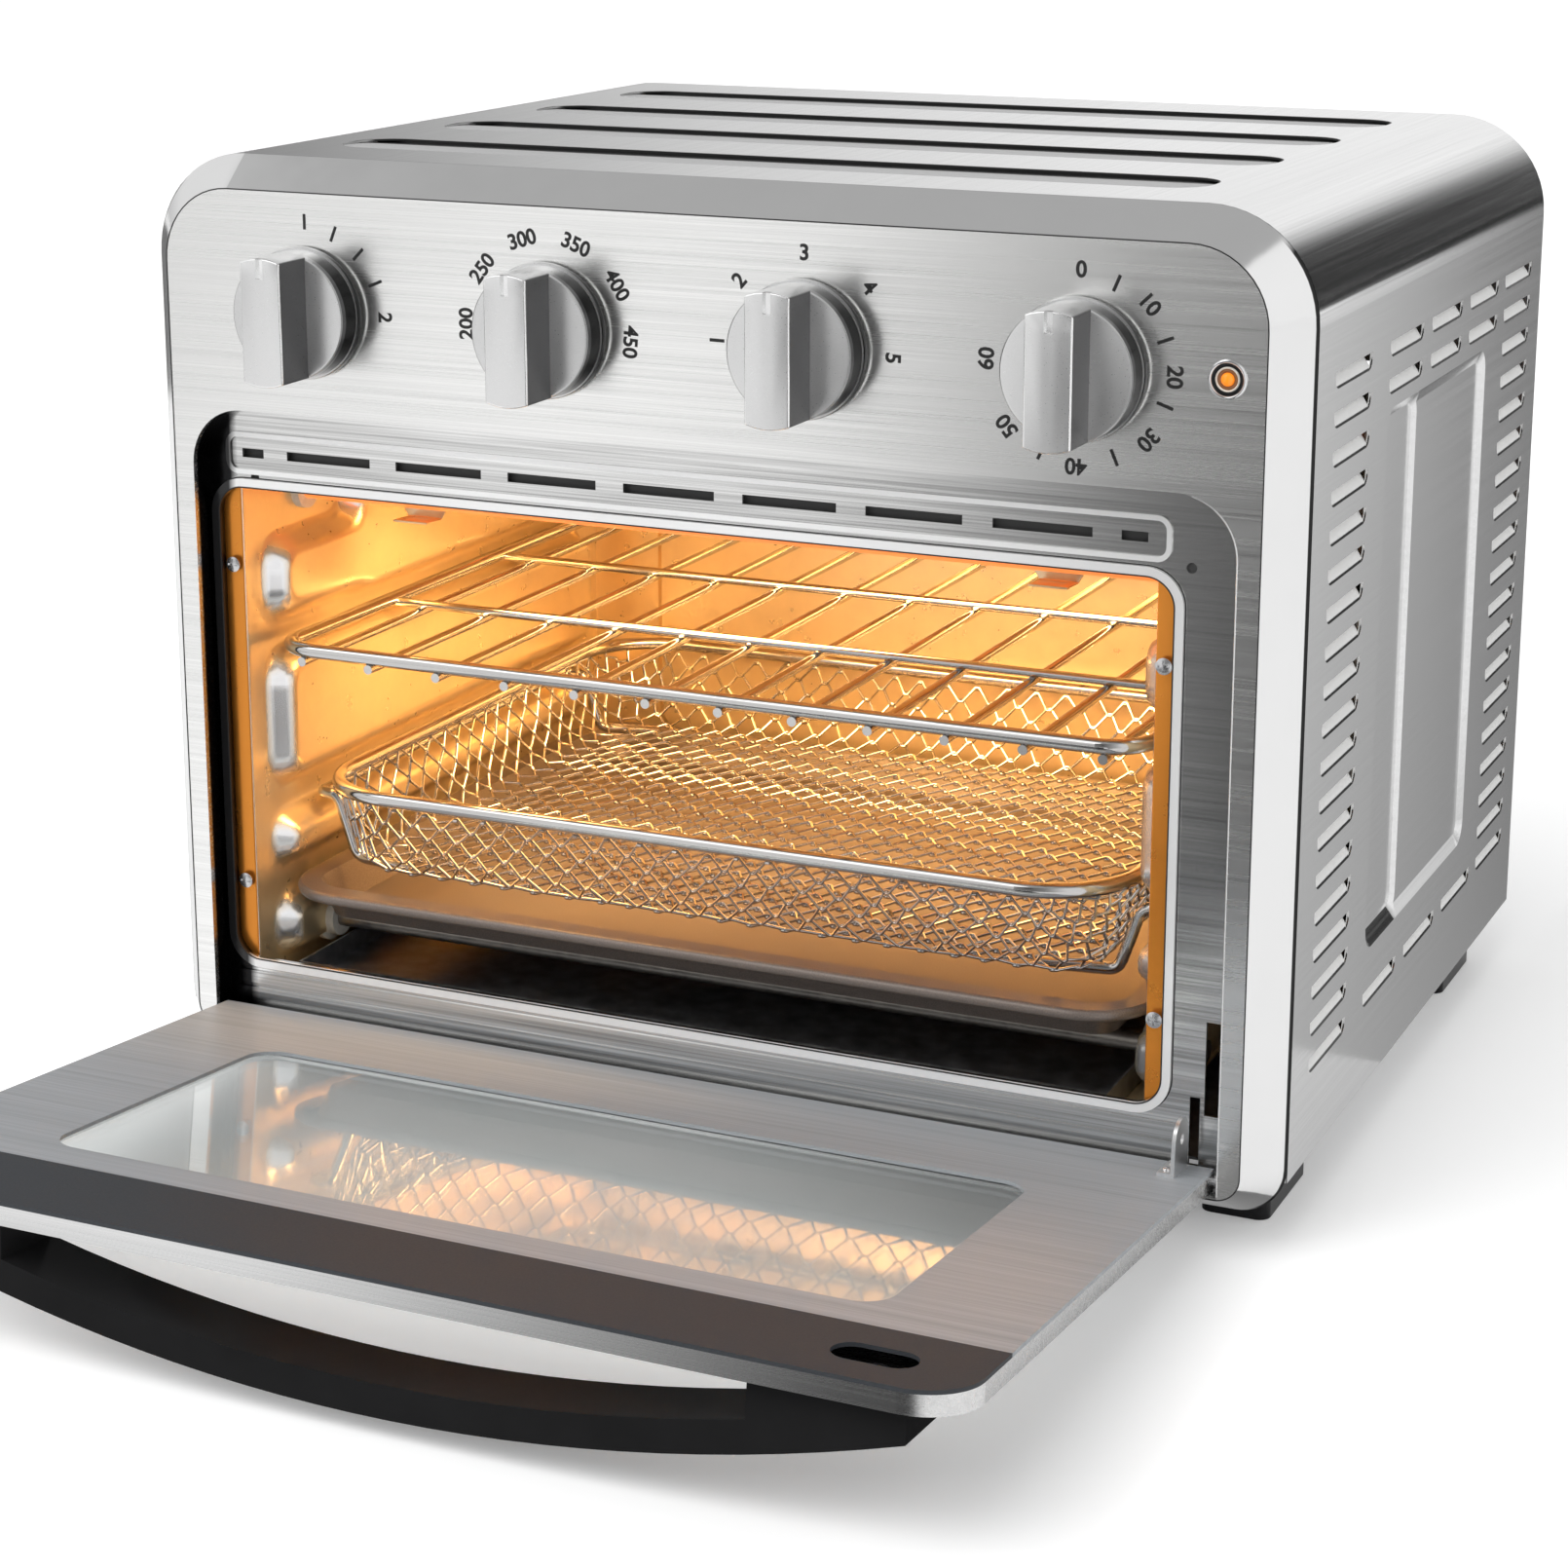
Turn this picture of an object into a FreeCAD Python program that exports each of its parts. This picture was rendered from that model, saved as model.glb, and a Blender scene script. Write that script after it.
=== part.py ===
import FreeCAD, Part
import math
import os

# Air fryer toaster oven with a bottom-hinged door, in millimetres.
# X runs to the right, Y runs from the front face into the oven, Z runs up from the surface it stands on.
# The pieces are modelled with the control panel's face at Y = 0 and moved to the frame's origin at the end.

V = FreeCAD.Vector

# Casing
body_width = 392.0
body_top = 316.0
body_depth = 308.0
wrap_bottom = 22.0
wrap_front = 13.4
wrap_corner = 34.0
wrap_sheet = 0.8
wrap_hem = 9.0

# Control panel and the bevelled ring round it
ring_bevel = 11.0
ring_top_bevel = 10.0
panel_bottom = 18.5
panel_corner = 24.0
panel_foot_corner = 8.0
panel_sheet = 1.2
ring_depth = 13.0
ring_bottom = 11.0
ring_foot_corner = 16.0
ring_lip = 4.0
ring_lip_depth = 6.0

# Cut-out that the door closes into
cutout_leg = 7.0
strip_height = 72.0
cutout_corner = 19.0
recess_depth = 9.5
return_sheet = 1.2

# Front frame behind the door
frame_sheet = 1.2
frame_side_gap = 2.0
frame_bottom = 19.0
frame_top_lap = 10.0
mouth_left_margin = 4.0
mouth_right_margin = 21.0
mouth_bottom = 42.0
mouth_drop = 27.5
mouth_corner = 9.0
bead_width = 3.0
bead_height = 1.5
air_band_gap = 4.5
air_band_height = 14.0
air_band_inset = 3.0
air_band_line = 1.6
air_band_rise = 0.8
air_slot_count = 7
air_slot_length = 31.5
air_slot_pitch = 41.2
air_slot_height = 3.0
air_slot_small = 8.2
air_slot_small_gap = 9.0
spring_slot_width = 6.0
spring_slot_bottom = 41.0
spring_slot_height = 30.0
spring_slot_inset = 1.5
sill_groove_count = 2
sill_groove_pitch = 6.0
sill_groove_width = 1.6
sill_groove_depth = 0.6
sill_groove_top = 38.5
frame_hole_radius = 1.6
frame_hole_offset = 4.6

# Oven cavity
wall_sheet = 1.0
flange_show = 6.5
cavity_floor_level = 32.0
ceiling_rise = 4.5
cavity_back_gap = 45.0
flange_width = 12.0
bulge_depth = 8.0
bulge_front = 24.0
bulge_back_margin = 14.0
bulge_slope = 4.0
bulge_corner = 9.0
track_height = 8.5
lowest_bulge_bottom = 36.0
highest_bulge_drop = 15.0

# Running gaps and fits
slide_gap = 0.3
seat_gap = 0.3
pin_clearance = 0.05
door_side_gap = 2.0

# Wire rack
rack_level = 150.0
rack_side_gap = 3.5
rack_wire = 5.0
rack_cross_wire = 3.2
rack_cross_count = 12
rack_corner = 14.0
rack_front_gap = 6.0
rack_rear_gap = 8.0
rack_stretcher_count = 2
rack_stretcher_drop = 1.0
rack_weld = 0.5

# Mesh basket
basket_rim_level = 101.0
basket_depth = 31.0
basket_side_gap = 13.0
basket_front_gap = 7.0
basket_rear_gap = 9.0
basket_wire = 5.0
basket_corner = 30.0
basket_taper = 7.0
basket_strand = 1.6
basket_cell = 23.0
basket_cell_rib = 3.0
carrier_level = 92.0
carrier_wire = 4.0

# Baking tray
tray_bottom = 54.0
tray_depth = 12.0
tray_sheet = 1.0
tray_rim_width = 8.0
tray_bead = 4.0
tray_front_gap = 4.0
tray_rear_gap = 8.0
tray_corner = 22.0
tray_taper = 5.0

# Crumb tray, drawn out at the rear
crumb_depth = 8.0
crumb_sheet = 0.8
crumb_side_gap = 13.0
crumb_front_gap = 5.0
crumb_pull_height = 15.0
crumb_pull_thickness = 2.0
crumb_pull_gap = 0.5
crumb_slot_gap = 1.2

# Heating elements
heater_radius = 3.5
heater_upper_drop = 12.0
heater_lower_level = 46.5
heater_front = 48.0
heater_rear_gap = 31.0
heater_overhang = 9.0
insulator_radius = 7.0
insulator_length = 9.0
insulator_nose = 3.0
insulator_collar = 2.0
insulator_gap = 0.1

# Convection fan above the cavity
fan_y = 140.0
fan_radius = 62.0
fan_hole_radius = 74.0
fan_chamber_wall = 78.0
fan_chamber_height = 23.0
fan_disc = 1.2
fan_blade_height = 13.0
fan_blade_sheet = 1.2
fan_blade_count = 8
fan_hub_radius = 9.0
shaft_radius = 3.0
motor_radius = 32.0
motor_height = 30.0
motor_gap = 12.0
motor_plate = 2.0
cooling_fan_radius = 46.0
cooling_blade_count = 6
cooling_fan_height = 6.0
guard_radius = 82.0
guard_sheet = 1.0
guard_slot_count = 16
guard_slot_width = 5.0

# Door, drawn closed and then opened
door_thickness = 7.0
door_top_gap = 2.0
door_corner = 17.0
door_foot_corner = 3.0
door_skin = 1.2
hinge_y = 3.0
hinge_z = 23.5
door_open_slope = 5.5
window_margin = 38.0
window_foot_margin = 38.5
window_head_margin = 46.0
window_corner = 10.0
glass_thickness = 4.0
glass_lap = 9.0
seal_width = 3.0
trim_band = 36.0
trim_slot_length = 24.0
trim_slot_width = 12.0
trim_slot_inset = 14.0
pin_radius = 1.5
pin_reach = 4.0
bracket_sheet = 1.5
bracket_size = 14.0
ear_sheet = 1.2
ear_height = 17.0
ear_width = 13.0
ear_hole_radius = 1.6
ear_start = 2.0
ear_inset = 9.0
ear_slot_gap = 1.0

# Bow handle
handle_margin = 16.0
handle_mid_reach = 34.0
handle_end_reach = 10.0
handle_bar = 9.5
handle_height = 24.0
handle_top_inset = 5.0
grip_post = 44.0
handle_screw_radius = 2.0
handle_screw_head = 4.0
handle_screw_depth = 6.0

# Knobs, their shafts and the units behind them
knob_names = ["speed", "temperature", "function", "timer"]
knob_left_margin = 53.0
knob_right_margin = 56.0
knob_drop = 38.0
knob_radius = 21.3
knob_gap = 1.5
knob_disc = 10.5
knob_bar_width = 14.5
knob_bar_height = 15.0
pointer_width = 3.0
pointer_length = 6.0
pointer_depth = 1.0
spindle_radius = 3.0
spindle_bore_depth = 16.0
spindle_hole = 4.0
spindle_tail = 16.0
unit_width = [30.0, 36.0, 34.0, 46.0]
unit_height = [26.0, 34.0, 32.0, 38.0]
unit_depth = [26.0, 30.0, 32.0, 44.0]
unit_plate = 4.0
tag_pitch = 8.0
tag_width = 5.0
tag_length = 6.0

# Pilot lamp
lamp_margin = 11.5
lamp_radius = 3.8
lamp_dome = 2.2
lamp_ring_radius = 5.8
lamp_ring_height = 2.0
lamp_body_radius = 4.6
lamp_body_length = 16.0

# Side louvres, top louvres and the pressed side panel
louvre_first = 32.5
louvre_rear_margin = 16.5
louvre_middle = [95.0, 147.0, 199.0]
louvre_length = 41.0
louvre_height = 5.2
louvre_depth = 4.0
louvre_corner = 3.6
louvre_drop = 49.5
louvre_pitch = 11.75
louvre_lowest = 50.0
pressing_front = 95.0
pressing_step = 136.0
pressing_back = 226.0
pressing_bottom = 69.0
pressing_drop = 71.0
pressing_deep = 3.0
pressing_shallow = 1.6
pressing_slope = 4.0
top_louvre_count = 4
top_louvre_first = 44.0
top_louvre_pitch = 67.0
top_louvre_width = 31.0
top_louvre_margin = 46.0
top_louvre_depth = 6.0
top_louvre_corner = 13.0

# Base, feet, back panel and what is fixed to it
base_sheet = 1.0
foot_width = 22.0
foot_length = 44.0
foot_inset = 22.0
foot_front = 32.0
foot_rear_margin = 10.0
foot_corner = 4.0
screw_radius = 1.7
screw_head_radius = 3.4
screw_head_height = 1.8
screw_length = 10.0
case_screw_inset = 16.0
case_screw_low = 110.0
case_screw_high_drop = 66.0
case_screw_edge = 13.0
case_screw_foot = 30.0
flange_screw_radius = 2.6
flange_screw_height = 1.4
flange_screw_inset = 27.0
back_sheet = 1.0
back_slot_rows = 6
back_slot_columns = 7
back_slot_length = 30.0
back_slot_height = 4.0
back_slot_pitch_x = 42.0
back_slot_pitch_z = 12.0
back_slot_drop = 32.0
spacer_reach = 12.0
spacer_width = 24.0
spacer_height = 40.0
spacer_inset = 66.0
spacer_z = 150.0
gland_inset = 28.0
gland_z = 62.0
gland_radius = 7.0
gland_bore = 3.7
gland_flange = 10.0
gland_flange_thickness = 3.0
gland_length = 18.0
gland_inside = 0.4
gland_gap = 0.1
loom_radius = 3.0
loom_bend = 12.0
loom_wall_gap = 20.0
loom_rear_gap = 46.0
loom_drop = 26.0
probe_radius = 2.0
probe_length = 90.0
probe_drop = 25.0
probe_wall_gap = 9.0

# Worked out from the values above
half_width = body_width / 2.0
panel_half_width = half_width - ring_bevel
panel_top = body_top - ring_top_bevel
cutout_top = panel_top - strip_height
frame_top = cutout_top + frame_top_lap
mouth_top = cutout_top - mouth_drop
air_band_bottom = mouth_top + air_band_gap
cavity_ceiling_level = mouth_top + ceiling_rise
highest_bulge_top = cavity_ceiling_level - highest_bulge_drop
heater_upper_level = cavity_ceiling_level - heater_upper_drop
probe_level = cavity_ceiling_level - probe_drop
cutout_half_width = panel_half_width - cutout_leg
frame_half_width = panel_half_width - frame_side_gap
mouth_left = mouth_left_margin - cutout_half_width
mouth_right = cutout_half_width - mouth_right_margin
cavity_x = (mouth_left + mouth_right) / 2.0
cavity_half_width = (mouth_right - mouth_left) / 2.0 - flange_show
frame_face = recess_depth
frame_back = recess_depth + frame_sheet
cavity_back = body_depth - cavity_back_gap
heater_rear = cavity_back - heater_rear_gap
cavity_left = cavity_x - cavity_half_width
cavity_right = cavity_x + cavity_half_width
rack_half_width = cavity_half_width - rack_side_gap
tray_half_width = rack_half_width
basket_half_width = cavity_half_width - basket_side_gap
crumb_half_width = cavity_half_width - crumb_side_gap
door_half_width = cutout_half_width - door_side_gap
window_half_width = door_half_width - window_margin
handle_half_width = door_half_width - handle_margin
grip_half_width = handle_half_width - grip_post
trim_slot_x = handle_half_width - trim_slot_inset
door_outer = hinge_y - door_thickness / 2.0
door_inner = hinge_y + door_thickness / 2.0
door_top = cutout_top - door_top_gap
window_bottom = hinge_z + window_foot_margin
window_top = door_top - window_head_margin
open_angle = 90.0 - door_open_slope
rack_front = frame_back + rack_front_gap
rack_depth = cavity_back - rack_rear_gap - rack_front
basket_front = frame_back + basket_front_gap
basket_length = cavity_back - basket_rear_gap - basket_front
tray_front = frame_back + tray_front_gap
tray_length = cavity_back - tray_rear_gap - tray_front
crumb_front = frame_back + crumb_front_gap
rack_track = rack_level - rack_wire / 2.0 - slide_gap
carrier_track = carrier_level - carrier_wire / 2.0 - slide_gap
tray_rim = tray_bottom + tray_depth
tray_track = tray_rim - tray_bead - slide_gap
chamber_top = cavity_ceiling_level + wall_sheet + fan_chamber_height
motor_bottom = chamber_top + motor_gap
crumb_bottom = cavity_floor_level + slide_gap
crumb_rear = body_depth + crumb_pull_gap
knob_pitch = (2.0 * panel_half_width - knob_left_margin - knob_right_margin) / (len(knob_names) - 1)
knob_x = [knob_left_margin - panel_half_width + i * knob_pitch for i in range(len(knob_names))]
knob_z = panel_top - knob_drop
lamp_x = panel_half_width - lamp_margin
louvre_top = body_top - louvre_drop
louvre_rows = 1 + int((louvre_top - louvre_lowest) // louvre_pitch)
louvre_full_rows = [0, 1, louvre_rows - 1]
pressing_top = body_top - pressing_drop
back_slot_top = body_top - back_slot_drop
louvre_last = body_depth - louvre_rear_margin - louvre_length
louvre_starts = [louvre_first] + louvre_middle + [louvre_last]
top_louvre_half_length = half_width - top_louvre_margin
foot_x = half_width - foot_inset
spacer_x = half_width - spacer_inset
gland_x = half_width - gland_inset


def slab(x0, x1, y0, y1, z0, z1):
    """Box between two corners."""
    return Part.makeBox(x1 - x0, y1 - y0, z1 - z0, V(x0, y0, z0))


def rod(start, end, radius):
    """Round bar between two points."""
    start, end = V(*start), V(*end)
    return Part.makeCylinder(radius, (end - start).Length, start, end - start)


def tube_ring(centre, axis, outer, inner, length):
    """Round bush from a point along an axis."""
    outside = Part.makeCylinder(outer, length, V(*centre), V(*axis))
    return outside.cut(Part.makeCylinder(inner, length, V(*centre), V(*axis)))


def joined(shapes):
    """One solid from shapes that overlap or meet."""
    first = shapes[0]
    return first.fuse(shapes[1:]).removeSplitter() if len(shapes) > 1 else first


def round_rect(u0, u1, v0, v1, low, high, place):
    """Closed outline of a rectangle, with one corner radius below and one above."""
    slant = math.sqrt(0.5)
    corners = [
        (u1 - low, v0 + low, low, -90.0),
        (u1 - high, v1 - high, high, 0.0),
        (u0 + high, v1 - high, high, 90.0),
        (u0 + low, v0 + low, low, 180.0),
    ]
    ends = []
    arcs = []
    for cu, cv, radius, turn in corners:
        start, middle, stop = (math.radians(turn + step) for step in (0.0, 45.0, 90.0))
        points = [
            place(cu + radius * math.cos(a), cv + radius * math.sin(a)) for a in (start, middle, stop)
        ]
        arcs.append(Part.Arc(*points).toShape())
        ends.append((points[0], points[2]))
    edges = []
    for i in range(4):
        edges.append(arcs[i])
        edges.append(Part.LineSegment(ends[i][1], ends[(i + 1) % 4][0]).toShape())
    return Part.Wire(edges)


def on_xz(y):
    return lambda u, v: V(u, y, v)


def on_xy(z):
    return lambda u, v: V(u, v, z)


def on_yz(x):
    return lambda u, v: V(x, u, v)


def panel_xz(x0, x1, z0, z1, low, high, y0, y1):
    """Plate standing across Y, with rounded corners."""
    return Part.Face(round_rect(x0, x1, z0, z1, low, high, on_xz(y0))).extrude(V(0, y1 - y0, 0))


def panel_xy(x0, x1, y0, y1, radius, z0, z1):
    """Plate lying flat, with rounded corners."""
    return Part.Face(round_rect(x0, x1, y0, y1, radius, radius, on_xy(z0))).extrude(V(0, 0, z1 - z0))


def polygon(points, travel):
    """Prism from a closed list of corner points."""
    return Part.Face(Part.makePolygon([V(*p) for p in points + points[:1]])).extrude(V(*travel))


def wire_ring(x0, x1, y0, y1, level, corner, radius):
    """Round wire bent to a rectangle with rounded corners."""
    path = round_rect(x0, x1, y0, y1, corner, corner, on_xy(level))
    start = path.Edges[1].firstVertex().Point
    along = path.Edges[1].lastVertex().Point - start
    section = Part.Wire(Part.makeCircle(radius, start, along))
    first = Part.Wire(path.Edges[1:] + path.Edges[:1])
    return first.makePipeShell([section], True, False)


def bent_rod(points, bend, radius):
    """Round bar through points, with an arc of one radius at each bend."""
    points = [V(*p) for p in points]
    edges = []
    here = points[0]
    for before, corner, after in zip(points, points[1:], points[2:]):
        back, ahead = (before - corner).normalize(), (after - corner).normalize()
        half = back.getAngle(ahead) / 2.0
        cut = bend / math.tan(half)
        start, stop = corner + back * cut, corner + ahead * cut
        middle_line = (back + ahead).normalize()
        centre = corner + middle_line * (bend / math.sin(half))
        middle = centre - middle_line * bend
        edges.append(Part.LineSegment(here, start).toShape())
        edges.append(Part.Arc(start, middle, stop).toShape())
        here = stop
    edges.append(Part.LineSegment(here, points[-1]).toShape())
    path = Part.Wire(edges)
    section = Part.Wire(Part.makeCircle(radius, points[0], points[1] - points[0]))
    return path.makePipeShell([section], True, False)


def frustum(face_a, face_b):
    """Solid between two outlines of the same kind."""
    return Part.makeLoft([face_a, face_b], True, True)


def mirrored_x(shape):
    return shape.mirror(V(0, 0, 0), V(1, 0, 0))


def outer_wrap():
    """Top and sides of the casing, one bent sheet with sunk louvres and a pressed panel on each side."""
    outside = panel_xz(-half_width, half_width, wrap_bottom - wrap_corner, body_top, wrap_corner, wrap_corner,
                       wrap_front, body_depth)
    inner = wrap_corner - wrap_sheet
    inside = panel_xz(-half_width + wrap_sheet, half_width - wrap_sheet, wrap_bottom - wrap_corner * 2.0,
                      body_top - wrap_sheet, inner, inner, wrap_front, body_depth)
    below = slab(-body_width, body_width, 0, body_depth * 2.0, -body_width, wrap_bottom)
    sheet = outside.cut(inside).cut(below)
    hems = []
    for side in (-1, 1):
        edge = side * half_width
        hems.append(slab(min(edge, edge - side * wrap_hem), max(edge, edge - side * wrap_hem),
                         wrap_front + ring_lip_depth, body_depth, wrap_bottom, wrap_bottom + wrap_sheet))
    pockets = side_louvres() + [side_pressing()]
    pockets += [mirrored_x(p) for p in pockets]
    shells = []
    for pocket in pockets:
        inward = -wrap_sheet if pocket.BoundBox.Center.x > 0 else wrap_sheet
        shells.append(pocket.translated(V(inward, 0, 0)))
    tops = top_louvres()
    shells += [p.translated(V(0, 0, -wrap_sheet)) for p in tops]
    return sheet.fuse(hems + shells).cut(pockets + tops)


def side_louvres():
    """Sunk scoops in the right side: flush at the lower edge and deepest at the straight upper edge."""
    found = []
    for row in range(louvre_rows):
        top = louvre_top - row * louvre_pitch
        bottom = top - louvre_height
        columns = louvre_starts if row in louvre_full_rows else [louvre_starts[0], louvre_starts[-1]]
        for start in columns:
            wedge = polygon([(half_width, start, bottom), (half_width, start, top),
                             (half_width - louvre_depth, start, top)], (0, louvre_length, 0))
            outline = Part.Face(round_rect(start, start + louvre_length, bottom, top + louvre_corner,
                                           louvre_corner, louvre_corner / 2.0, on_yz(half_width)))
            found.append(wedge.common(outline.extrude(V(-louvre_depth, 0, 0))))
    return found


def side_pressing():
    """Sunk panel in the right side, in two steps."""
    def sunk(front, back, depth):
        inset = pressing_slope
        outline = round_rect(front, back, pressing_bottom, pressing_top, inset * 2.0, inset * 2.0,
                             on_yz(half_width))
        floor = round_rect(front + inset, back - inset, pressing_bottom + inset, pressing_top - inset,
                           inset, inset, on_yz(half_width - depth))
        return frustum(outline, floor)

    return sunk(pressing_front, pressing_step + pressing_slope, pressing_deep).fuse(
        sunk(pressing_front, pressing_back, pressing_shallow))


def top_louvres():
    """Long sunk ramps across the top, deepest at the rear edge."""
    found = []
    for i in range(top_louvre_count):
        front = top_louvre_first + i * top_louvre_pitch
        back = front + top_louvre_width
        ramp = polygon([(-top_louvre_half_length, front, body_top), (-top_louvre_half_length, back, body_top),
                        (-top_louvre_half_length, back, body_top - top_louvre_depth)],
                       (2.0 * top_louvre_half_length, 0, 0))
        outline = panel_xy(-top_louvre_half_length, top_louvre_half_length, front, back,
                           top_louvre_corner, body_top - top_louvre_depth, body_top)
        found.append(ramp.common(outline))
    return found


def front_ring():
    """Bevelled ring between the control panel and the casing, with a lip that enters the casing."""
    small = round_rect(-panel_half_width, panel_half_width, panel_bottom, panel_top,
                       panel_foot_corner, panel_corner, on_xz(0))
    large = round_rect(-half_width, half_width, ring_bottom, body_top, ring_foot_corner, wrap_corner,
                       on_xz(ring_depth))
    solid = frustum(small, large)
    lip = panel_xz(-panel_half_width - ring_lip, panel_half_width + ring_lip, panel_bottom - ring_lip,
                   panel_top + ring_lip, panel_foot_corner + ring_lip, panel_corner + ring_lip,
                   ring_depth, ring_depth + ring_lip_depth)
    hollow = panel_xz(-panel_half_width, panel_half_width, panel_bottom, panel_top, panel_foot_corner,
                      panel_corner, 0, ring_depth + ring_lip_depth)
    return solid.fuse(lip).cut(hollow)


def cutout_block(grow, y0, y1):
    """Space of the door cut-out, open below, grown outwards."""
    return panel_xz(-cutout_half_width - grow, cutout_half_width + grow, panel_bottom - cutout_corner * 2.0,
                    cutout_top + grow, cutout_corner + grow, cutout_corner + grow, y0, y1)


def control_panel():
    """Front sheet: the control strip above, a narrow leg each side of the door, and a return into the recess."""
    sheet = panel_xz(-panel_half_width, panel_half_width, panel_bottom, panel_top, panel_foot_corner,
                     panel_corner, 0, panel_sheet)
    below = slab(-body_width, body_width, 0, recess_depth, -body_width, panel_bottom)
    returns = cutout_block(return_sheet, 0, recess_depth).cut(below)
    solid = sheet.fuse(returns).cut(cutout_block(0, 0, recess_depth))
    holes = [rod((x, 0, knob_z), (x, panel_sheet, knob_z), spindle_hole) for x in knob_x]
    holes.append(rod((lamp_x, 0, knob_z), (lamp_x, panel_sheet, knob_z), lamp_body_radius))
    reach = cutout_half_width + return_sheet
    holes.append(rod((-reach, hinge_y, hinge_z), (reach, hinge_y, hinge_z), pin_radius))
    return solid.cut(holes)


def front_frame():
    """Frame behind the door: mouth with a raised bead, air slots in a raised band, grooves in the sill."""
    face = frame_face
    sheet = panel_xz(-frame_half_width, frame_half_width, frame_bottom, frame_top, 4.0, 12.0, face, frame_back)

    def mouth(grow, y0, y1):
        return panel_xz(mouth_left - grow, mouth_right + grow, mouth_bottom - grow, mouth_top + grow,
                        mouth_corner + grow, mouth_corner + grow, y0, y1)

    def band(inset, y0, y1):
        return panel_xz(mouth_left + air_band_inset + inset, mouth_right - air_band_inset / 2.0 - inset,
                        air_band_bottom + inset, air_band_bottom + air_band_height - inset,
                        4.5 - inset, 4.5 - inset, y0, y1)

    bead = mouth(bead_width, face - bead_height, face).cut(mouth(0, face - bead_height, face))
    line = band(0, face - air_band_rise, face).cut(band(air_band_line, face - air_band_rise, face))
    solid = sheet.fuse([bead, line]).cut(mouth(0, face - bead_height, frame_back))
    cuts = []
    slot_z = air_band_bottom + (air_band_height - air_slot_height) / 2.0
    run = (air_slot_count - 1) * air_slot_pitch + air_slot_length
    first = cavity_x - run / 2.0
    spans = [(first + i * air_slot_pitch, air_slot_length) for i in range(air_slot_count)]
    spans.append((first - air_slot_small_gap - air_slot_small, air_slot_small))
    spans.append((first + run + air_slot_small_gap, air_slot_small))
    for x, length in spans:
        cuts.append(slab(x, x + length, face, frame_back, slot_z, slot_z + air_slot_height))
    slot_right = cutout_half_width - spring_slot_inset
    cuts.append(slab(slot_right - spring_slot_width, slot_right, face, frame_back,
                     spring_slot_bottom, spring_slot_bottom + spring_slot_height))
    cuts.append(ear_space(face, frame_back))
    for x in (mouth_left + air_band_inset * 4.5, mouth_right + frame_hole_offset):
        z = air_band_bottom - 1.0
        cuts.append(rod((x, face, z), (x, frame_back, z), frame_hole_radius))
    for i in range(sill_groove_count):
        z = sill_groove_top - i * sill_groove_pitch
        cuts.append(slab(mouth_left, ear_x() - 2.0 * ear_sheet, face, face + sill_groove_depth,
                         z - sill_groove_width, z))
    return solid.cut(cuts)


def ear_x():
    """Inner face of the ear that stands on the door's right corner."""
    return door_half_width - ear_inset


def ear_space(y0, y1):
    """Slit that the ear swings through as the door closes."""
    radius = ear_width / 2.0
    reach = math.hypot(door_inner + ear_height - radius - hinge_y, ear_start + radius) + radius
    top = hinge_z + math.sqrt(reach ** 2 - (y0 - hinge_y) ** 2) + ear_slot_gap
    return slab(ear_x() - ear_slot_gap, ear_x() + ear_sheet + ear_slot_gap, y0, y1,
                hinge_z + ear_start - ear_slot_gap, top)


def bulges(inward):
    """Pressed panels on one side wall, between the tracks: the top of each is the floor of a track."""
    wall = cavity_right if inward < 0 else cavity_left
    tracks = [tray_track, carrier_track, rack_track]
    lows = [lowest_bulge_bottom] + [t + track_height for t in tracks]
    highs = tracks + [highest_bulge_top]
    found = []
    for low, high in zip(lows, highs):
        corner = min(bulge_corner, (high - low) / 2.5)
        rim = round_rect(bulge_front, cavity_back - bulge_back_margin, low, high, corner, corner, on_yz(wall))
        inset = bulge_slope
        slope_z = min(0.5, (high - low) / 8.0)
        face = round_rect(bulge_front + inset, cavity_back - bulge_back_margin - inset, low + slope_z,
                          high - slope_z, corner, corner, on_yz(wall + inward * bulge_depth))
        found.append(frustum(rim, face))
    return found


def cavity_side(inward):
    """Side wall of the cavity with its front flange, pressed bulges and holes for the heating elements."""
    wall = cavity_right if inward < 0 else cavity_left
    outer = wall - inward * wall_sheet
    z0, z1 = cavity_floor_level, cavity_ceiling_level
    plate = slab(min(wall, outer), max(wall, outer), frame_back, cavity_back, z0, z1)
    flange_end = outer - inward * flange_width
    flange = slab(min(outer, flange_end), max(outer, flange_end), frame_back, frame_back + wall_sheet, z0, z1)
    raised = bulges(inward)
    hollow = [b.translated(V(-inward * wall_sheet, 0, 0)) for b in raised]
    solid = plate.fuse([flange] + raised).cut(hollow)
    holes = []
    for y, z, _ in heater_places():
        holes.append(rod((wall - 20.0, y, z), (wall + 20.0, y, z), insulator_radius))
    return solid.cut(holes)


def heater_places():
    """Where the elements cross the side walls, and how far inside the wall's plane the sheet lies there."""
    levels = ((heater_upper_level, 0.0), (heater_lower_level, bulge_depth))
    return [(y, z, inset) for z, inset in levels for y in (heater_front, heater_rear)]


def cavity_ceiling():
    """Top of the cavity, with the round hole under the fan chamber."""
    plate = slab(cavity_left - wall_sheet, cavity_right + wall_sheet, frame_back, cavity_back + wall_sheet,
                 cavity_ceiling_level, cavity_ceiling_level + wall_sheet)
    hole = Part.makeCylinder(fan_hole_radius, wall_sheet, V(cavity_x, fan_y, cavity_ceiling_level))
    return plate.cut(hole)


def cavity_floor():
    """Bottom of the cavity, which the crumb tray lies on."""
    return slab(cavity_left - wall_sheet, cavity_right + wall_sheet, frame_back, cavity_back + wall_sheet,
                cavity_floor_level - wall_sheet, cavity_floor_level)


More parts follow.
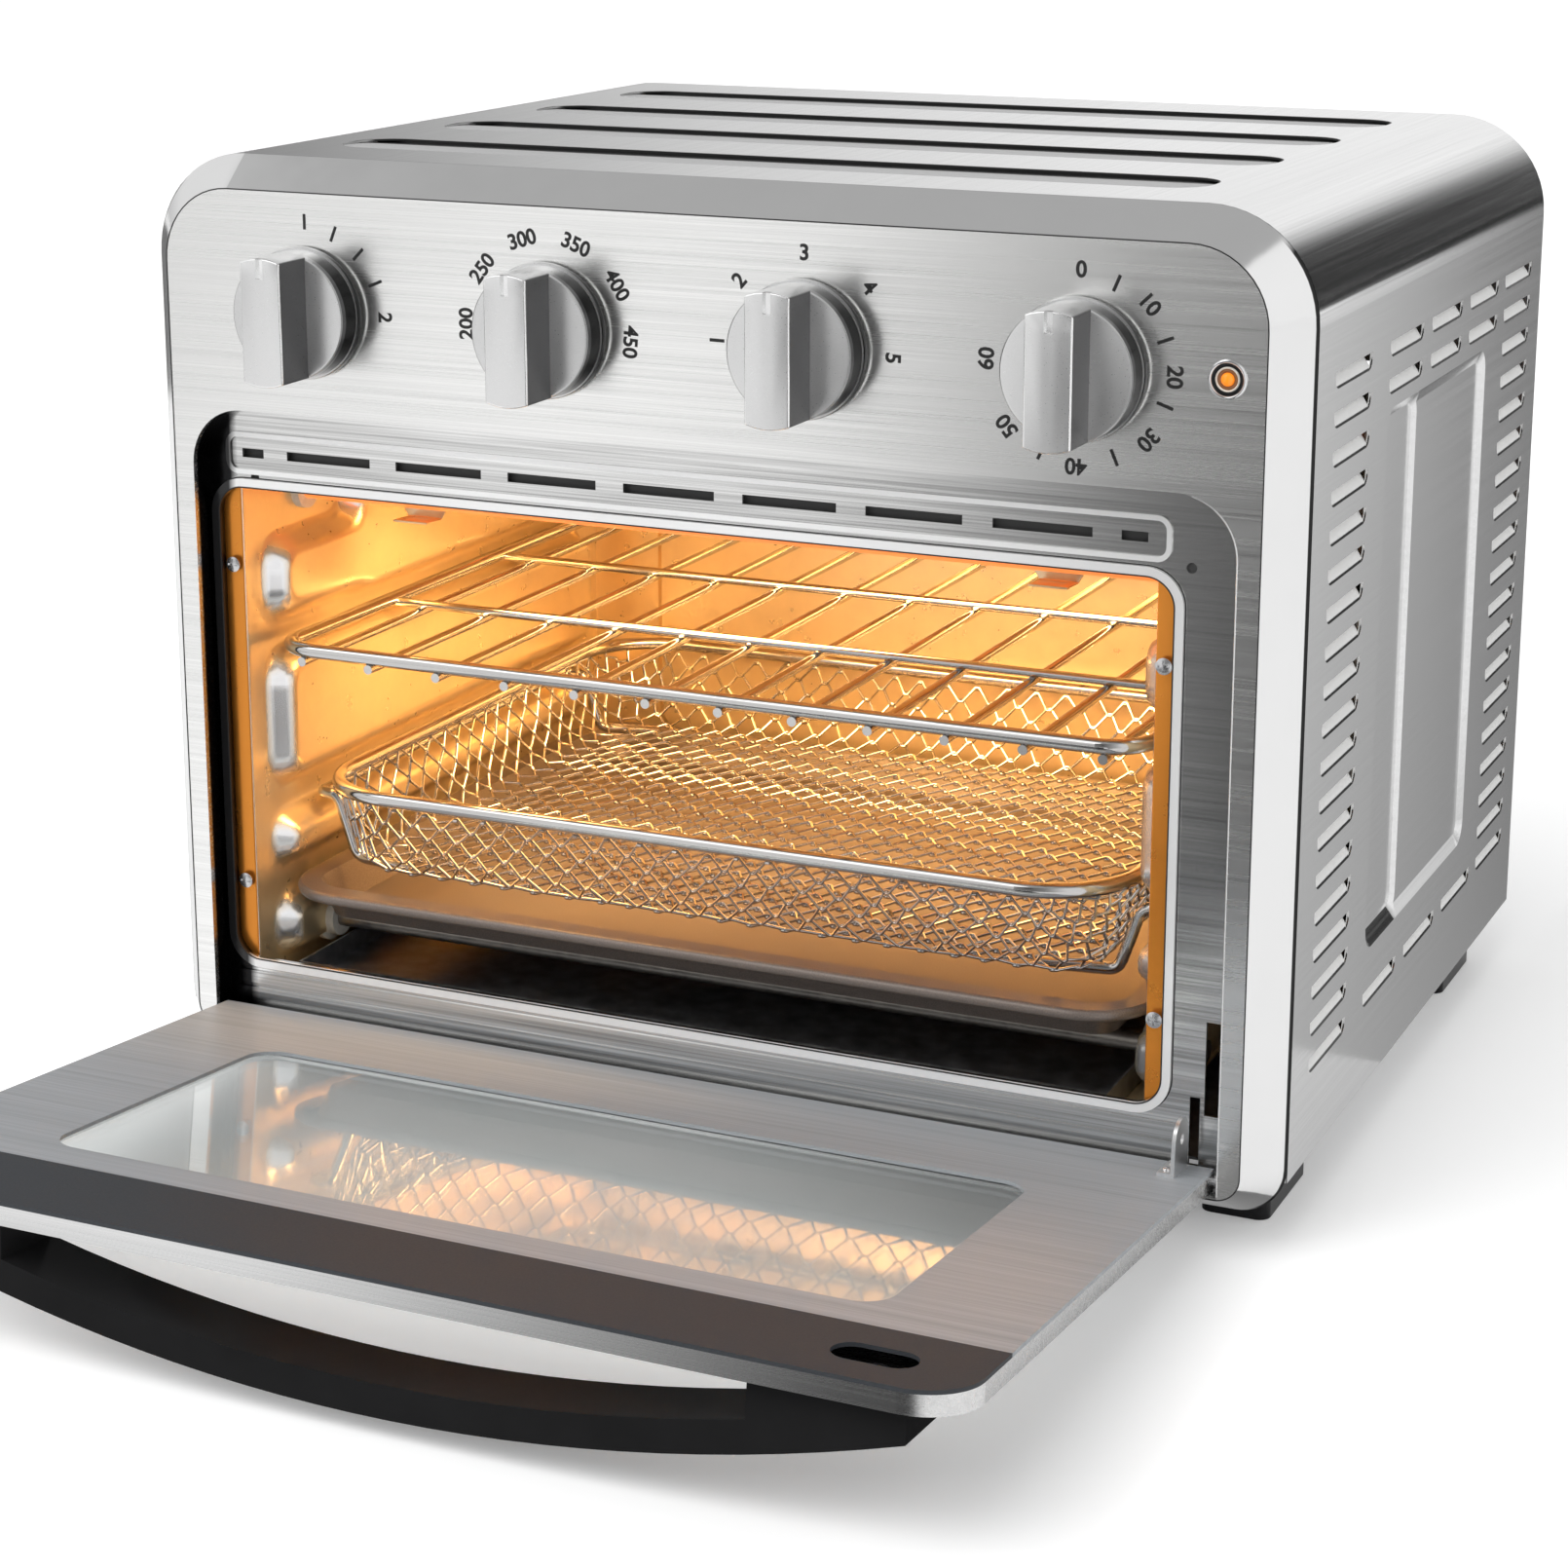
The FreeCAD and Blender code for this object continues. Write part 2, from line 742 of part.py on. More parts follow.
def crumb_way(y0, y1):
    """Slot that the crumb tray passes through."""
    gap = crumb_slot_gap
    return slab(cavity_x - crumb_half_width - gap, cavity_x + crumb_half_width + gap, y0, y1,
                cavity_floor_level, crumb_bottom + crumb_depth + gap)


def cavity_back_wall():
    """Rear of the cavity with a pressed field and the slot for the crumb tray."""
    back = cavity_back
    plate = slab(cavity_left, cavity_right, back, back + wall_sheet, cavity_floor_level, cavity_ceiling_level)
    margin = 28.0
    rise = 3.0
    rim = round_rect(cavity_left + margin, cavity_right - margin, cavity_floor_level + margin,
                     cavity_ceiling_level - margin, 12.0, 12.0, on_xz(back))
    face = round_rect(cavity_left + margin + rise, cavity_right - margin - rise,
                      cavity_floor_level + margin + rise, cavity_ceiling_level - margin - rise, 9.0, 9.0,
                      on_xz(back - rise))
    field = frustum(rim, face)
    return plate.fuse(field).cut([field.translated(V(0, wall_sheet, 0)), crumb_way(back, back + wall_sheet)])


def heaters(level):
    """Two straight tube elements across the cavity, through both side walls."""
    reach = cavity_half_width + heater_overhang
    return [rod((cavity_x - reach, y, level), (cavity_x + reach, y, level), heater_radius)
            for y in (heater_front, heater_rear)]


def insulators():
    """Ceramic bushes that carry the elements in the side walls, with a collar outside the wall."""
    found = []
    for y, z, inset in heater_places():
        for side in (-1, 1):
            wall = (cavity_right if side > 0 else cavity_left) - side * inset
            core = tube_ring((wall - side * insulator_nose, y, z), (side, 0, 0),
                             insulator_radius - insulator_gap, heater_radius + pin_clearance, insulator_length)
            collar = tube_ring((wall + side * wall_sheet, y, z), (side, 0, 0),
                               insulator_radius + insulator_collar, heater_radius + pin_clearance,
                               insulator_collar)
            found.append(joined([core, collar]))
    return found


def fan_chamber():
    """Pan above the ceiling that the fan turns in."""
    base = cavity_ceiling_level + wall_sheet
    centre = V(cavity_x, fan_y, base)
    outside = Part.makeCylinder(fan_chamber_wall, fan_chamber_height, centre)
    inside = Part.makeCylinder(fan_chamber_wall - wall_sheet, fan_chamber_height - wall_sheet, centre)
    flange = Part.makeCylinder(fan_chamber_wall + 7.0, wall_sheet, centre)
    shaft_hole = Part.makeCylinder(shaft_radius + 1.0, fan_chamber_height, centre)
    return outside.fuse(flange).cut([inside, shaft_hole])


def fan_guard():
    """Slotted disc under the fan, fixed to the ceiling from below."""
    level = cavity_ceiling_level - guard_sheet
    disc = Part.makeCylinder(guard_radius, guard_sheet, V(cavity_x, fan_y, level))
    cuts = []
    for ring_in, ring_out, count in ((16.0, 40.0, guard_slot_count // 2), (46.0, 70.0, guard_slot_count)):
        for i in range(count):
            half = guard_slot_width / 2.0
            bar = slab(ring_in, ring_out, -half, half, level, level + guard_sheet)
            bar = bar.rotated(V(0, 0, 0), V(0, 0, 1), i * 360.0 / count)
            cuts.append(bar.translated(V(cavity_x, fan_y, 0)))
    return disc.cut(cuts)


def fan_wheel():
    """Radial fan wheel: a disc with straight blades below it and a hub on the shaft."""
    top = chamber_top - wall_sheet - 3.0
    disc = Part.makeCylinder(fan_radius, fan_disc, V(0, 0, top - fan_disc))
    hub = Part.makeCylinder(fan_hub_radius, fan_blade_height, V(0, 0, top - fan_blade_height))
    blades = []
    for i in range(fan_blade_count):
        blade = slab(fan_hub_radius - 1.0, fan_radius - 1.0, -fan_blade_sheet / 2.0, fan_blade_sheet / 2.0,
                     top - fan_blade_height, top - fan_disc / 2.0)
        blades.append(blade.rotated(V(0, 0, 0), V(0, 0, 1), i * 360.0 / fan_blade_count))
    wheel = disc.fuse([hub] + blades)
    bore = Part.makeCylinder(shaft_radius + pin_clearance, fan_blade_height, V(0, 0, top - fan_blade_height))
    return wheel.cut(bore).translated(V(cavity_x, fan_y, 0))


def cooling_level():
    return motor_bottom + motor_height + 3.0


def motor_shaft():
    """Shaft through the motor, with the fan wheel below and the cooling blades above."""
    low = chamber_top - wall_sheet - 3.0 - fan_blade_height
    high = cooling_level() + cooling_fan_height
    return rod((cavity_x, fan_y, low), (cavity_x, fan_y, high), shaft_radius)


def cooling_fan():
    """Pressed blades that cool the motor."""
    level = cooling_level()
    hub = Part.makeCylinder(7.0, cooling_fan_height, V(0, 0, level))
    blades = []
    for i in range(cooling_blade_count):
        blade = slab(6.0, cooling_fan_radius, -9.0, 9.0, level + 2.0, level + 3.2)
        blade = blade.rotated(V(0, 0, level + 2.6), V(1, 0, 0), 14.0)
        blades.append(blade.rotated(V(0, 0, 0), V(0, 0, 1), i * 360.0 / cooling_blade_count))
    wheel = hub.fuse(blades)
    bore = Part.makeCylinder(shaft_radius + pin_clearance, cooling_fan_height, V(0, 0, level))
    return wheel.cut(bore).translated(V(cavity_x, fan_y, 0))


def fan_motor():
    """Motor between two plates, on three legs that stand on the fan chamber."""
    body = Part.makeCylinder(motor_radius, motor_height, V(cavity_x, fan_y, motor_bottom))
    shoulder = Part.makeCylinder(motor_radius * 0.45, 2.0, V(cavity_x, fan_y, motor_bottom - 2.0))
    bore = Part.makeCylinder(shaft_radius + pin_clearance, motor_height + 4.0,
                             V(cavity_x, fan_y, motor_bottom - 2.0))
    return body.fuse(shoulder).cut(bore)


def motor_bracket():
    """Plate under the motor with three legs down to the fan chamber."""
    plate = Part.makeCylinder(motor_radius + 10.0, motor_plate, V(0, 0, motor_bottom - motor_plate))
    hole = Part.makeCylinder(motor_radius * 0.45 + 0.5, motor_plate, V(0, 0, motor_bottom - motor_plate))
    legs = []
    for i in range(3):
        radius = motor_radius + 4.0
        leg = Part.makeCylinder(4.0, motor_gap - motor_plate, V(radius, 0, chamber_top))
        legs.append(leg.rotated(V(0, 0, 0), V(0, 0, 1), 30.0 + i * 120.0))
    return plate.fuse(legs).cut(hole).translated(V(cavity_x, fan_y, 0))


def back_panel():
    """Rear sheet inside the casing, with rows of air slots, the crumb tray's slot and the cable hole."""
    y0, y1 = body_depth - back_sheet, body_depth
    inner = wrap_corner - wrap_sheet
    sheet = panel_xz(-half_width + wrap_sheet, half_width - wrap_sheet, wrap_bottom + base_sheet,
                     body_top - wrap_sheet, 1.0, inner, y0, y1)
    cuts = [crumb_way(y0, y1), rod((gland_x, y0, gland_z), (gland_x, y1, gland_z), gland_radius)]
    run = (back_slot_columns - 1) * back_slot_pitch_x + back_slot_length
    for row in range(back_slot_rows):
        z = back_slot_top - row * back_slot_pitch_z
        for column in range(back_slot_columns):
            x = column * back_slot_pitch_x - run / 2.0
            cuts.append(slab(x, x + back_slot_length, y0, y1, z - back_slot_height, z))
    for x, z in case_screw_places():
        cuts.append(rod((x, y0, z), (x, y1, z), screw_radius + pin_clearance))
    hem_gap = slab(-half_width, -half_width + wrap_hem, y0, y1, 0, wrap_bottom + wrap_sheet)
    return sheet.cut(cuts + [hem_gap, mirrored_x(hem_gap)])


def case_screw_places():
    """Two screws down each side of the back panel and two along its top and bottom edges."""
    side_x = half_width - case_screw_inset
    places = [(side_x, case_screw_low), (side_x, body_top - case_screw_high_drop),
              (side_x / 2.0, body_top - case_screw_edge), (side_x / 2.0, wrap_bottom + case_screw_foot)]
    return [(side * x, z) for side in (-1, 1) for x, z in places]


def pan_screw(at, direction, length):
    """Pan head screw: the head sits on the face at the point, the shank runs along the direction."""
    point, along = V(*at), V(*direction)
    head = Part.makeCylinder(screw_head_radius, screw_head_height, point - along * screw_head_height, along)
    return head.fuse(Part.makeCylinder(screw_radius, length, point, along))


def case_screws():
    return [pan_screw((x, body_depth, z), (0, -1, 0), screw_length) for x, z in case_screw_places()]


def base_pan():
    """Bottom sheet of the casing, between the hems."""
    plate = slab(-half_width + wrap_sheet, half_width - wrap_sheet, wrap_front + ring_lip_depth, body_depth,
                 wrap_bottom, wrap_bottom + base_sheet)
    hems = []
    for side in (-1, 1):
        edge = side * half_width
        hems.append(slab(min(edge, edge - side * wrap_hem), max(edge, edge - side * wrap_hem), 0,
                         body_depth, wrap_bottom, wrap_bottom + base_sheet))
    holes = [rod((x, y, wrap_bottom), (x, y, wrap_bottom + base_sheet), screw_radius + pin_clearance)
             for x, y in foot_places()]
    vents = []
    for i in range(9):
        y = 70.0 + i * 20.0
        vents.append(slab(-90.0, 90.0, y, y + 5.0, wrap_bottom, wrap_bottom + base_sheet))
    return plate.cut(hems + holes + vents)


def foot_places():
    front = foot_front + foot_length / 2.0
    rear = body_depth - foot_rear_margin - foot_length / 2.0
    return [(side * foot_x, y) for side in (-1, 1) for y in (front, rear)]


def feet():
    """Four moulded feet under the base."""
    found = []
    for x, y in foot_places():
        block = panel_xy(x - foot_width / 2.0, x + foot_width / 2.0, y - foot_length / 2.0,
                         y + foot_length / 2.0, foot_corner, 0, wrap_bottom)
        hole = rod((x, y, wrap_bottom - screw_length - 1.0), (x, y, wrap_bottom), screw_radius + pin_clearance)
        found.append(block.cut(hole))
    return found


def foot_screws():
    top = wrap_bottom + base_sheet
    return [pan_screw((x, y, top), (0, 0, -1), screw_length) for x, y in foot_places()]


def flange_screws():
    """Screws that hold the cavity's front flanges to the frame, seen through the mouth."""
    found = []
    for x in ((mouth_left + cavity_left) / 2.0, (mouth_right + cavity_right) / 2.0):
        for z in (mouth_bottom + flange_screw_inset, mouth_top - flange_screw_inset):
            found.append(rod((x, frame_back, z), (x, frame_back - flange_screw_height, z), flange_screw_radius))
    return found


def rear_spacers():
    """Stand-offs that keep the back clear of a wall."""
    found = []
    for side in (-1, 1):
        x = side * spacer_x
        found.append(panel_xz(x - spacer_width / 2.0, x + spacer_width / 2.0, spacer_z - spacer_height / 2.0,
                              spacer_z + spacer_height / 2.0, 5.0, 5.0, body_depth, body_depth + spacer_reach))
    return found


def cord_gland():
    """Bush in the back panel where a supply lead enters."""
    start = (gland_x, body_depth - gland_length * gland_inside, gland_z)
    bush = tube_ring(start, (0, 1, 0), gland_radius - gland_gap, gland_bore, gland_length)
    flange = tube_ring((gland_x, body_depth, gland_z), (0, 1, 0), gland_flange, gland_bore,
                       gland_flange_thickness)
    return joined([bush, flange])


def wiring_loom():
    """Bundle of leads from the control units down the right side to the gland."""
    x = half_width - wrap_sheet - loom_wall_gap
    y = panel_sheet + unit_plate + unit_depth[-1] * 0.7
    rear = body_depth - loom_rear_gap
    points = [(knob_x[-1] + unit_width[-1] / 2.0, y, knob_z), (x, y, knob_z),
              (x, y + loom_drop, knob_z - loom_drop), (x, rear, gland_z + loom_drop),
              (gland_x, rear + loom_drop / 2.0, gland_z),
              (gland_x, body_depth - gland_length * gland_inside, gland_z)]
    return bent_rod(points, loom_bend, loom_radius)


def control_unit(i):
    """Switch, thermostat or clockwork block behind the panel, with a bush and a bore for its spindle."""
    x = knob_x[i]
    w, h, d = unit_width[i], unit_height[i], unit_depth[i]
    front = panel_sheet + unit_plate
    block = panel_xz(x - w / 2.0, x + w / 2.0, knob_z - h / 2.0, knob_z + h / 2.0, 3.0, 3.0, front, front + d)
    plate = slab(x - w / 2.0 + 2.0, x + w / 2.0 - 2.0, panel_sheet, front, knob_z - 9.0, knob_z + 9.0)
    tags = []
    for step in (-1, 0, 1):
        middle = x + step * tag_pitch
        tags.append(slab(middle - tag_width / 2.0, middle + tag_width / 2.0, front + d, front + d + tag_length,
                         knob_z + 3.0, knob_z + 3.8))
    bore = rod((x, 0, knob_z), (x, panel_sheet + spindle_tail + 1.0, knob_z), spindle_radius + pin_clearance)
    return block.fuse([plate] + tags).cut(bore)


def knob(i):
    """Round knob with a full-width raised bar and a pointer groove at its top."""
    x = knob_x[i]
    back = -knob_gap
    face = back - knob_disc
    front = face - knob_bar_height
    disc = rod((x, back, knob_z), (x, face, knob_z), knob_radius)
    bar = rod((x, face, knob_z), (x, front, knob_z), knob_radius).common(
        slab(x - knob_bar_width / 2.0, x + knob_bar_width / 2.0, front, face, knob_z - knob_radius,
             knob_z + knob_radius))
    body = disc.fuse(bar).removeSplitter()
    groove = panel_xz(x - pointer_width / 2.0, x + pointer_width / 2.0,
                      knob_z + knob_radius - pointer_length - 1.0, knob_z + knob_radius + 4.0, 1.4, 1.0,
                      front, front + pointer_depth)
    bore = rod((x, back, knob_z), (x, back - spindle_bore_depth, knob_z), spindle_radius + pin_clearance)
    return body.cut([groove, bore])


def spindle(i):
    x = knob_x[i]
    return rod((x, -knob_gap - spindle_bore_depth, knob_z), (x, panel_sheet + spindle_tail, knob_z),
               spindle_radius)


def lamp_ring():
    """Plated ring round the pilot lamp."""
    return tube_ring((lamp_x, -lamp_ring_height, knob_z), (0, 1, 0), lamp_ring_radius, lamp_radius,
                     lamp_ring_height)


def lamp_lens():
    """Domed amber lens with its body behind the panel."""
    radius = (lamp_radius ** 2 + lamp_dome ** 2) / (2.0 * lamp_dome)
    front = -lamp_ring_height
    ball = Part.makeSphere(radius, V(lamp_x, front - lamp_dome + radius, knob_z))
    dome = ball.common(rod((lamp_x, front - lamp_dome, knob_z), (lamp_x, front, knob_z), lamp_radius))
    neck = rod((lamp_x, front, knob_z), (lamp_x, 0, knob_z), lamp_radius)
    stem = rod((lamp_x, 0, knob_z), (lamp_x, lamp_body_length, knob_z), lamp_radius)
    return dome.fuse([neck, stem]).removeSplitter()


def probe():
    """Thermostat bulb along the right wall, in two clips."""
    x = cavity_right - probe_wall_gap - bulge_depth
    y0 = 90.0
    bulb = rod((x, y0, probe_level), (x, y0 + probe_length, probe_level), probe_radius)
    clips = []
    for y in (y0 + 15.0, y0 + probe_length - 15.0):
        arm = slab(x, cavity_right - bulge_depth, y - 3.0, y + 3.0, probe_level - 0.6, probe_level + 0.6)
        clips.append(arm)
    return bulb.fuse(clips)


def wire_rack():
    """Rack of round wire: a frame with rods from front to back under its ends and two stretchers below."""
    x0, x1 = cavity_x - rack_half_width, cavity_x + rack_half_width
    y0, y1 = rack_front, rack_front + rack_depth
    inset = rack_wire / 2.0
    ring = wire_ring(x0 + inset, x1 - inset, y0 + inset, y1 - inset, rack_level, rack_corner, inset)
    drop = (rack_wire + rack_cross_wire) / 2.0 - rack_weld
    pitch = 2.0 * (rack_half_width - rack_corner) / (rack_cross_count - 1)
    rods = []
    for i in range(rack_cross_count):
        x = x0 + rack_corner + i * pitch
        level = rack_level - drop
        rods.append(rod((x, y0 + rack_weld, level), (x, y1 - rack_weld, level), rack_cross_wire / 2.0))
    for i in range(rack_stretcher_count):
        y = y0 + (i + 1) * rack_depth / (rack_stretcher_count + 1)
        level = rack_level - rack_stretcher_drop
        rods.append(rod((x0 + inset, y, level), (x1 - inset, y, level), rack_cross_wire / 2.0))
    return ring.fuse(rods)


def basket_outline(level, shrink):
    x0, x1 = cavity_x - basket_half_width + shrink, cavity_x + basket_half_width - shrink
    y0, y1 = basket_front + shrink, basket_front + basket_length - shrink
    corner = basket_corner - shrink
    return round_rect(x0, x1, y0, y1, corner, corner, on_xy(level))


def basket_rim():
    """Thick wire round the basket's mouth."""
    inset = basket_wire / 2.0
    return wire_ring(cavity_x - basket_half_width + inset, cavity_x + basket_half_width - inset,
                     basket_front + inset, basket_front + basket_length - inset, basket_rim_level,
                     basket_corner, inset)


def basket_mesh():
    """Tapered tub of mesh, with diamond gaps in its floor and sides."""
    low, high = basket_rim_level - basket_depth, basket_rim_level - basket_wire / 2.0
    top_shrink = basket_wire / 2.0
    outside = frustum(basket_outline(high, top_shrink), basket_outline(low, top_shrink + basket_taper))
    inside = frustum(basket_outline(high, top_shrink + basket_strand),
                     basket_outline(low, top_shrink + basket_taper + basket_strand))
    inside = inside.cut(slab(-body_width, body_width, 0, body_depth, low - 1.0, low + basket_strand))
    tub = outside.cut(inside)
    half = (basket_cell - basket_cell_rib * math.sqrt(2.0)) / 2.0
    floor_x = basket_half_width - basket_taper - basket_corner / 2.0
    floor_y = basket_length / 2.0 - basket_taper - basket_corner / 2.0
    middle_y = basket_front + basket_length / 2.0
    gaps = []
    columns = int(floor_x * 2.0 // basket_cell)
    rows = int(floor_y * 2.0 // basket_cell)
    for i in range(columns):
        for j in range(rows):
            x = cavity_x + (i - (columns - 1) / 2.0) * basket_cell
            y = middle_y + (j - (rows - 1) / 2.0) * basket_cell
            gaps.append(polygon([(x - half, y, low), (x, y - half, low), (x + half, y, low),
                                 (x, y + half, low)], (0, 0, basket_strand)))
    middle_z = (low + basket_strand + high) / 2.0
    tall = (high - low) / 2.0 - basket_cell_rib
    front, back = basket_front, basket_front + basket_length
    left, right = cavity_x - basket_half_width, cavity_x + basket_half_width
    for i in range(columns):
        x = cavity_x + (i - (columns - 1) / 2.0) * basket_cell
        gaps.append(polygon([(x - half, front, middle_z), (x, front, middle_z - tall),
                             (x + half, front, middle_z), (x, front, middle_z + tall)],
                            (0, back - front, 0)))
    for j in range(rows):
        y = middle_y + (j - (rows - 1) / 2.0) * basket_cell
        gaps.append(polygon([(left, y - half, middle_z), (left, y, middle_z - tall),
                             (left, y + half, middle_z), (left, y, middle_z + tall)],
                            (right - left, 0, 0)))
    return tub.cut(gaps)


def basket_carriers():
    """Side wires that run in the tracks, turned in to the basket's corners and held under its rim."""
    found = []
    out = rack_half_width - carrier_wire / 2.0
    top_level, low_level = basket_rim_level - basket_wire / 2.0, basket_rim_level - basket_depth
    drawn_in = basket_taper * (top_level - carrier_level - carrier_wire / 2.0) / (top_level - low_level)
    ends_in = basket_half_width - basket_wire / 2.0 - drawn_in + seat_gap
    y0, y1 = basket_front + basket_corner * 0.9, basket_front + basket_length - basket_corner * 0.9
    for side in (-1, 1):
        points = [(cavity_x + side * ends_in, y0, carrier_level), (cavity_x + side * out, y0, carrier_level),
                  (cavity_x + side * out, y1, carrier_level), (cavity_x + side * ends_in, y1, carrier_level)]
        found.append(bent_rod(points, 5.0, carrier_wire / 2.0))
    return found


def baking_tray():
    """Shallow tray with sloped sides, a flat rim and a rolled edge."""
    x0, x1 = cavity_x - tray_half_width, cavity_x + tray_half_width
    y0, y1 = tray_front, tray_front + tray_length
    inset = tray_bead / 2.0
    bead_level = tray_rim - inset
    bead = wire_ring(x0 + inset, x1 - inset, y0 + inset, y1 - inset, bead_level, tray_corner, inset)

    def outline(level, shrink):
        corner = tray_corner - min(shrink, tray_corner - 6.0)
        return round_rect(x0 + shrink, x1 - shrink, y0 + shrink, y1 - shrink, corner, corner, on_xy(level))

    body = frustum(outline(tray_rim, tray_rim_width), outline(tray_bottom, tray_rim_width + tray_taper))
    rim = Part.Face(outline(tray_rim, inset)).extrude(V(0, 0, -tray_sheet))
    floor = tray_bottom + tray_sheet
    hollow = frustum(outline(tray_rim, tray_rim_width + tray_sheet),
                     outline(floor, tray_rim_width + tray_taper + tray_sheet))
    return body.fuse([rim, bead]).cut(hollow)


def crumb_tray():
    """Shallow sheet tray under the lower elements, with a pull behind the back panel."""
    x0, x1 = cavity_x - crumb_half_width, cavity_x + crumb_half_width
    z0, z1 = crumb_bottom, crumb_bottom + crumb_depth
    tray = slab(x0, x1, crumb_front, crumb_rear, z0, z1)
    hollow = slab(x0 + crumb_sheet, x1 - crumb_sheet, crumb_front + crumb_sheet, crumb_rear - crumb_sheet,
                  z0 + crumb_sheet, z1)
    pull = slab(x0 - 4.0, x1 + 4.0, crumb_rear, crumb_rear + crumb_pull_thickness, z0, z0 + crumb_pull_height)
    grip = slab(cavity_x - 30.0, cavity_x + 30.0, crumb_rear, crumb_rear + 9.0, z0 + crumb_pull_height - 1.5,
                z0 + crumb_pull_height)
    return tray.cut(hollow).fuse([pull, grip])


def door_block(inset, low, y0, y1):
    """Door outline between two depths, with rounded top corners."""
    return panel_xz(-door_half_width + inset, door_half_width - inset, low, door_top - inset,
                    door_foot_corner, door_corner - inset, y0, y1)


def door_envelope():
    """Space of the closed door, with a rounded heel about the hinge line."""
    heel = rod((-door_half_width, hinge_y, hinge_z), (door_half_width, hinge_y, hinge_z), door_thickness / 2.0)
    above = slab(-door_half_width, door_half_width, door_outer, door_inner, hinge_z, door_top)
    return heel.fuse(above)


def window_block(grow, y0, y1):
    return panel_xz(-window_half_width - grow, window_half_width + grow, window_bottom - grow,
                    window_top + grow, window_corner, window_corner, y0, y1)


def door_shell():
    """Outer pan of the door: face sheet with the window and folded walls round the edge."""
    low = hinge_z - door_thickness / 2.0
    back = door_inner - door_skin
    solid = door_block(0, low, door_outer, back)
    hollow = door_block(door_skin, hinge_z + 4.0, door_outer + door_skin, back)
    shell = solid.cut([hollow, window_block(0, door_outer, back)]).common(door_envelope())
    cuts = [rod((-door_half_width, hinge_y, hinge_z), (door_half_width, hinge_y, hinge_z),
                pin_radius + pin_clearance)]
    for side in (-1, 1):
        x, z = side * trim_slot_x, handle_middle()
        cuts.append(rod((x, door_outer, z), (x, door_outer + door_skin, z),
                        handle_screw_radius + pin_clearance))
    return shell.cut(cuts)


def inner_sheet(z0, z1):
    """Stretch of the door's inner face between two heights."""
    low = hinge_z - door_thickness / 2.0
    sheet = door_block(0, low, door_inner - door_skin, door_inner).common(door_envelope())
    return sheet.common(slab(-body_width, body_width, door_outer, door_inner, z0, z1))


def door_inner_panel():
    """Brushed inner face round the window, with the two slots that the ear's tabs are bent through."""
    panel = inner_sheet(hinge_z - door_thickness, door_top - trim_band)
    cuts = [window_block(-4.0, door_inner - door_skin, door_inner),
            rod((-door_half_width, hinge_y, hinge_z), (door_half_width, hinge_y, hinge_z),
                pin_radius + pin_clearance)]
    return panel.cut(cuts)


def door_trim():
    """Dark band along the free edge of the door's inner face, with the oval holes over the handle screws."""
    band = inner_sheet(door_top - trim_band, door_top)
    cuts = []
    for side in (-1, 1):
        x = side * trim_slot_x
        half = trim_slot_length / 2.0
        z = handle_middle()
        radius = trim_slot_width / 2.0 - 0.01
        cuts.append(panel_xz(x - half, x + half, z - trim_slot_width / 2.0, z + trim_slot_width / 2.0, radius,
                             radius, door_inner - door_skin, door_inner))
    return band.cut(cuts)


def glass_space(grow, y0, y1):
    return window_block(glass_lap + grow, y0, y1)


def door_glass():
    """Tempered pane between the two skins."""
    middle = (door_outer + door_inner) / 2.0
    return glass_space(0, middle - glass_thickness / 2.0, middle + glass_thickness / 2.0)


def glass_seal():
    """Frame of soft strip that holds the pane between the skins."""
    y0, y1 = door_outer + door_skin, door_inner - door_skin
    middle = (door_outer + door_inner) / 2.0
    ring = glass_space(seal_width, y0, y1).cut(glass_space(-seal_width, y0, y1))
    return ring.cut(glass_space(0, middle - glass_thickness / 2.0, middle + glass_thickness / 2.0))


def handle_middle():
    return door_top - handle_top_inset - handle_height / 2.0


def bow(reach_mid, reach_end, half, low, high):
    """Block between the door's face and a shallow arc in front of it."""
    ends = [V(-half, door_outer, low), V(-half, door_outer - reach_end, low),
            V(0, door_outer - reach_mid, low), V(half, door_outer - reach_end, low), V(half, door_outer, low)]
    edges = [Part.LineSegment(ends[0], ends[1]).toShape(), Part.Arc(ends[1], ends[2], ends[3]).toShape(),
             Part.LineSegment(ends[3], ends[4]).toShape(), Part.LineSegment(ends[4], ends[0]).toShape()]
    return Part.Face(Part.Wire(edges)).extrude(V(0, 0, high - low))


def bow_reach(x):
    """Reach of the handle's outer arc at a place along it."""
    rise = handle_mid_reach - handle_end_reach
    radius = (handle_half_width ** 2 + rise ** 2) / (2.0 * rise)
    return handle_mid_reach - radius + math.sqrt(radius ** 2 - x ** 2)


def door_handle():
    """Bow handle: solid ends against the door and a curved bar with a finger gap behind it."""
    high = door_top - handle_top_inset
    low = high - handle_height
    solid = bow(handle_mid_reach, handle_end_reach, handle_half_width, low, high)
    gap = bow(handle_mid_reach - handle_bar, bow_reach(grip_half_width) - handle_bar, grip_half_width,
              low, high)
    holes = []
    for side in (-1, 1):
        x, z = side * trim_slot_x, handle_middle()
        holes.append(rod((x, door_outer, z), (x, door_outer - handle_screw_depth, z),
                         handle_screw_radius + pin_clearance))
    return solid.cut([gap] + holes)


def handle_screws():
    """Screws from inside the door into the handle's ends."""
    found = []
    for side in (-1, 1):
        x, z = side * trim_slot_x, handle_middle()
        seat = door_outer + door_skin
        shank = rod((x, seat, z), (x, door_outer - handle_screw_depth + 0.5, z), handle_screw_radius)
        head = rod((x, seat, z), (x, seat + 2.2, z), handle_screw_head)
        found.append(shank.fuse(head))
    return found


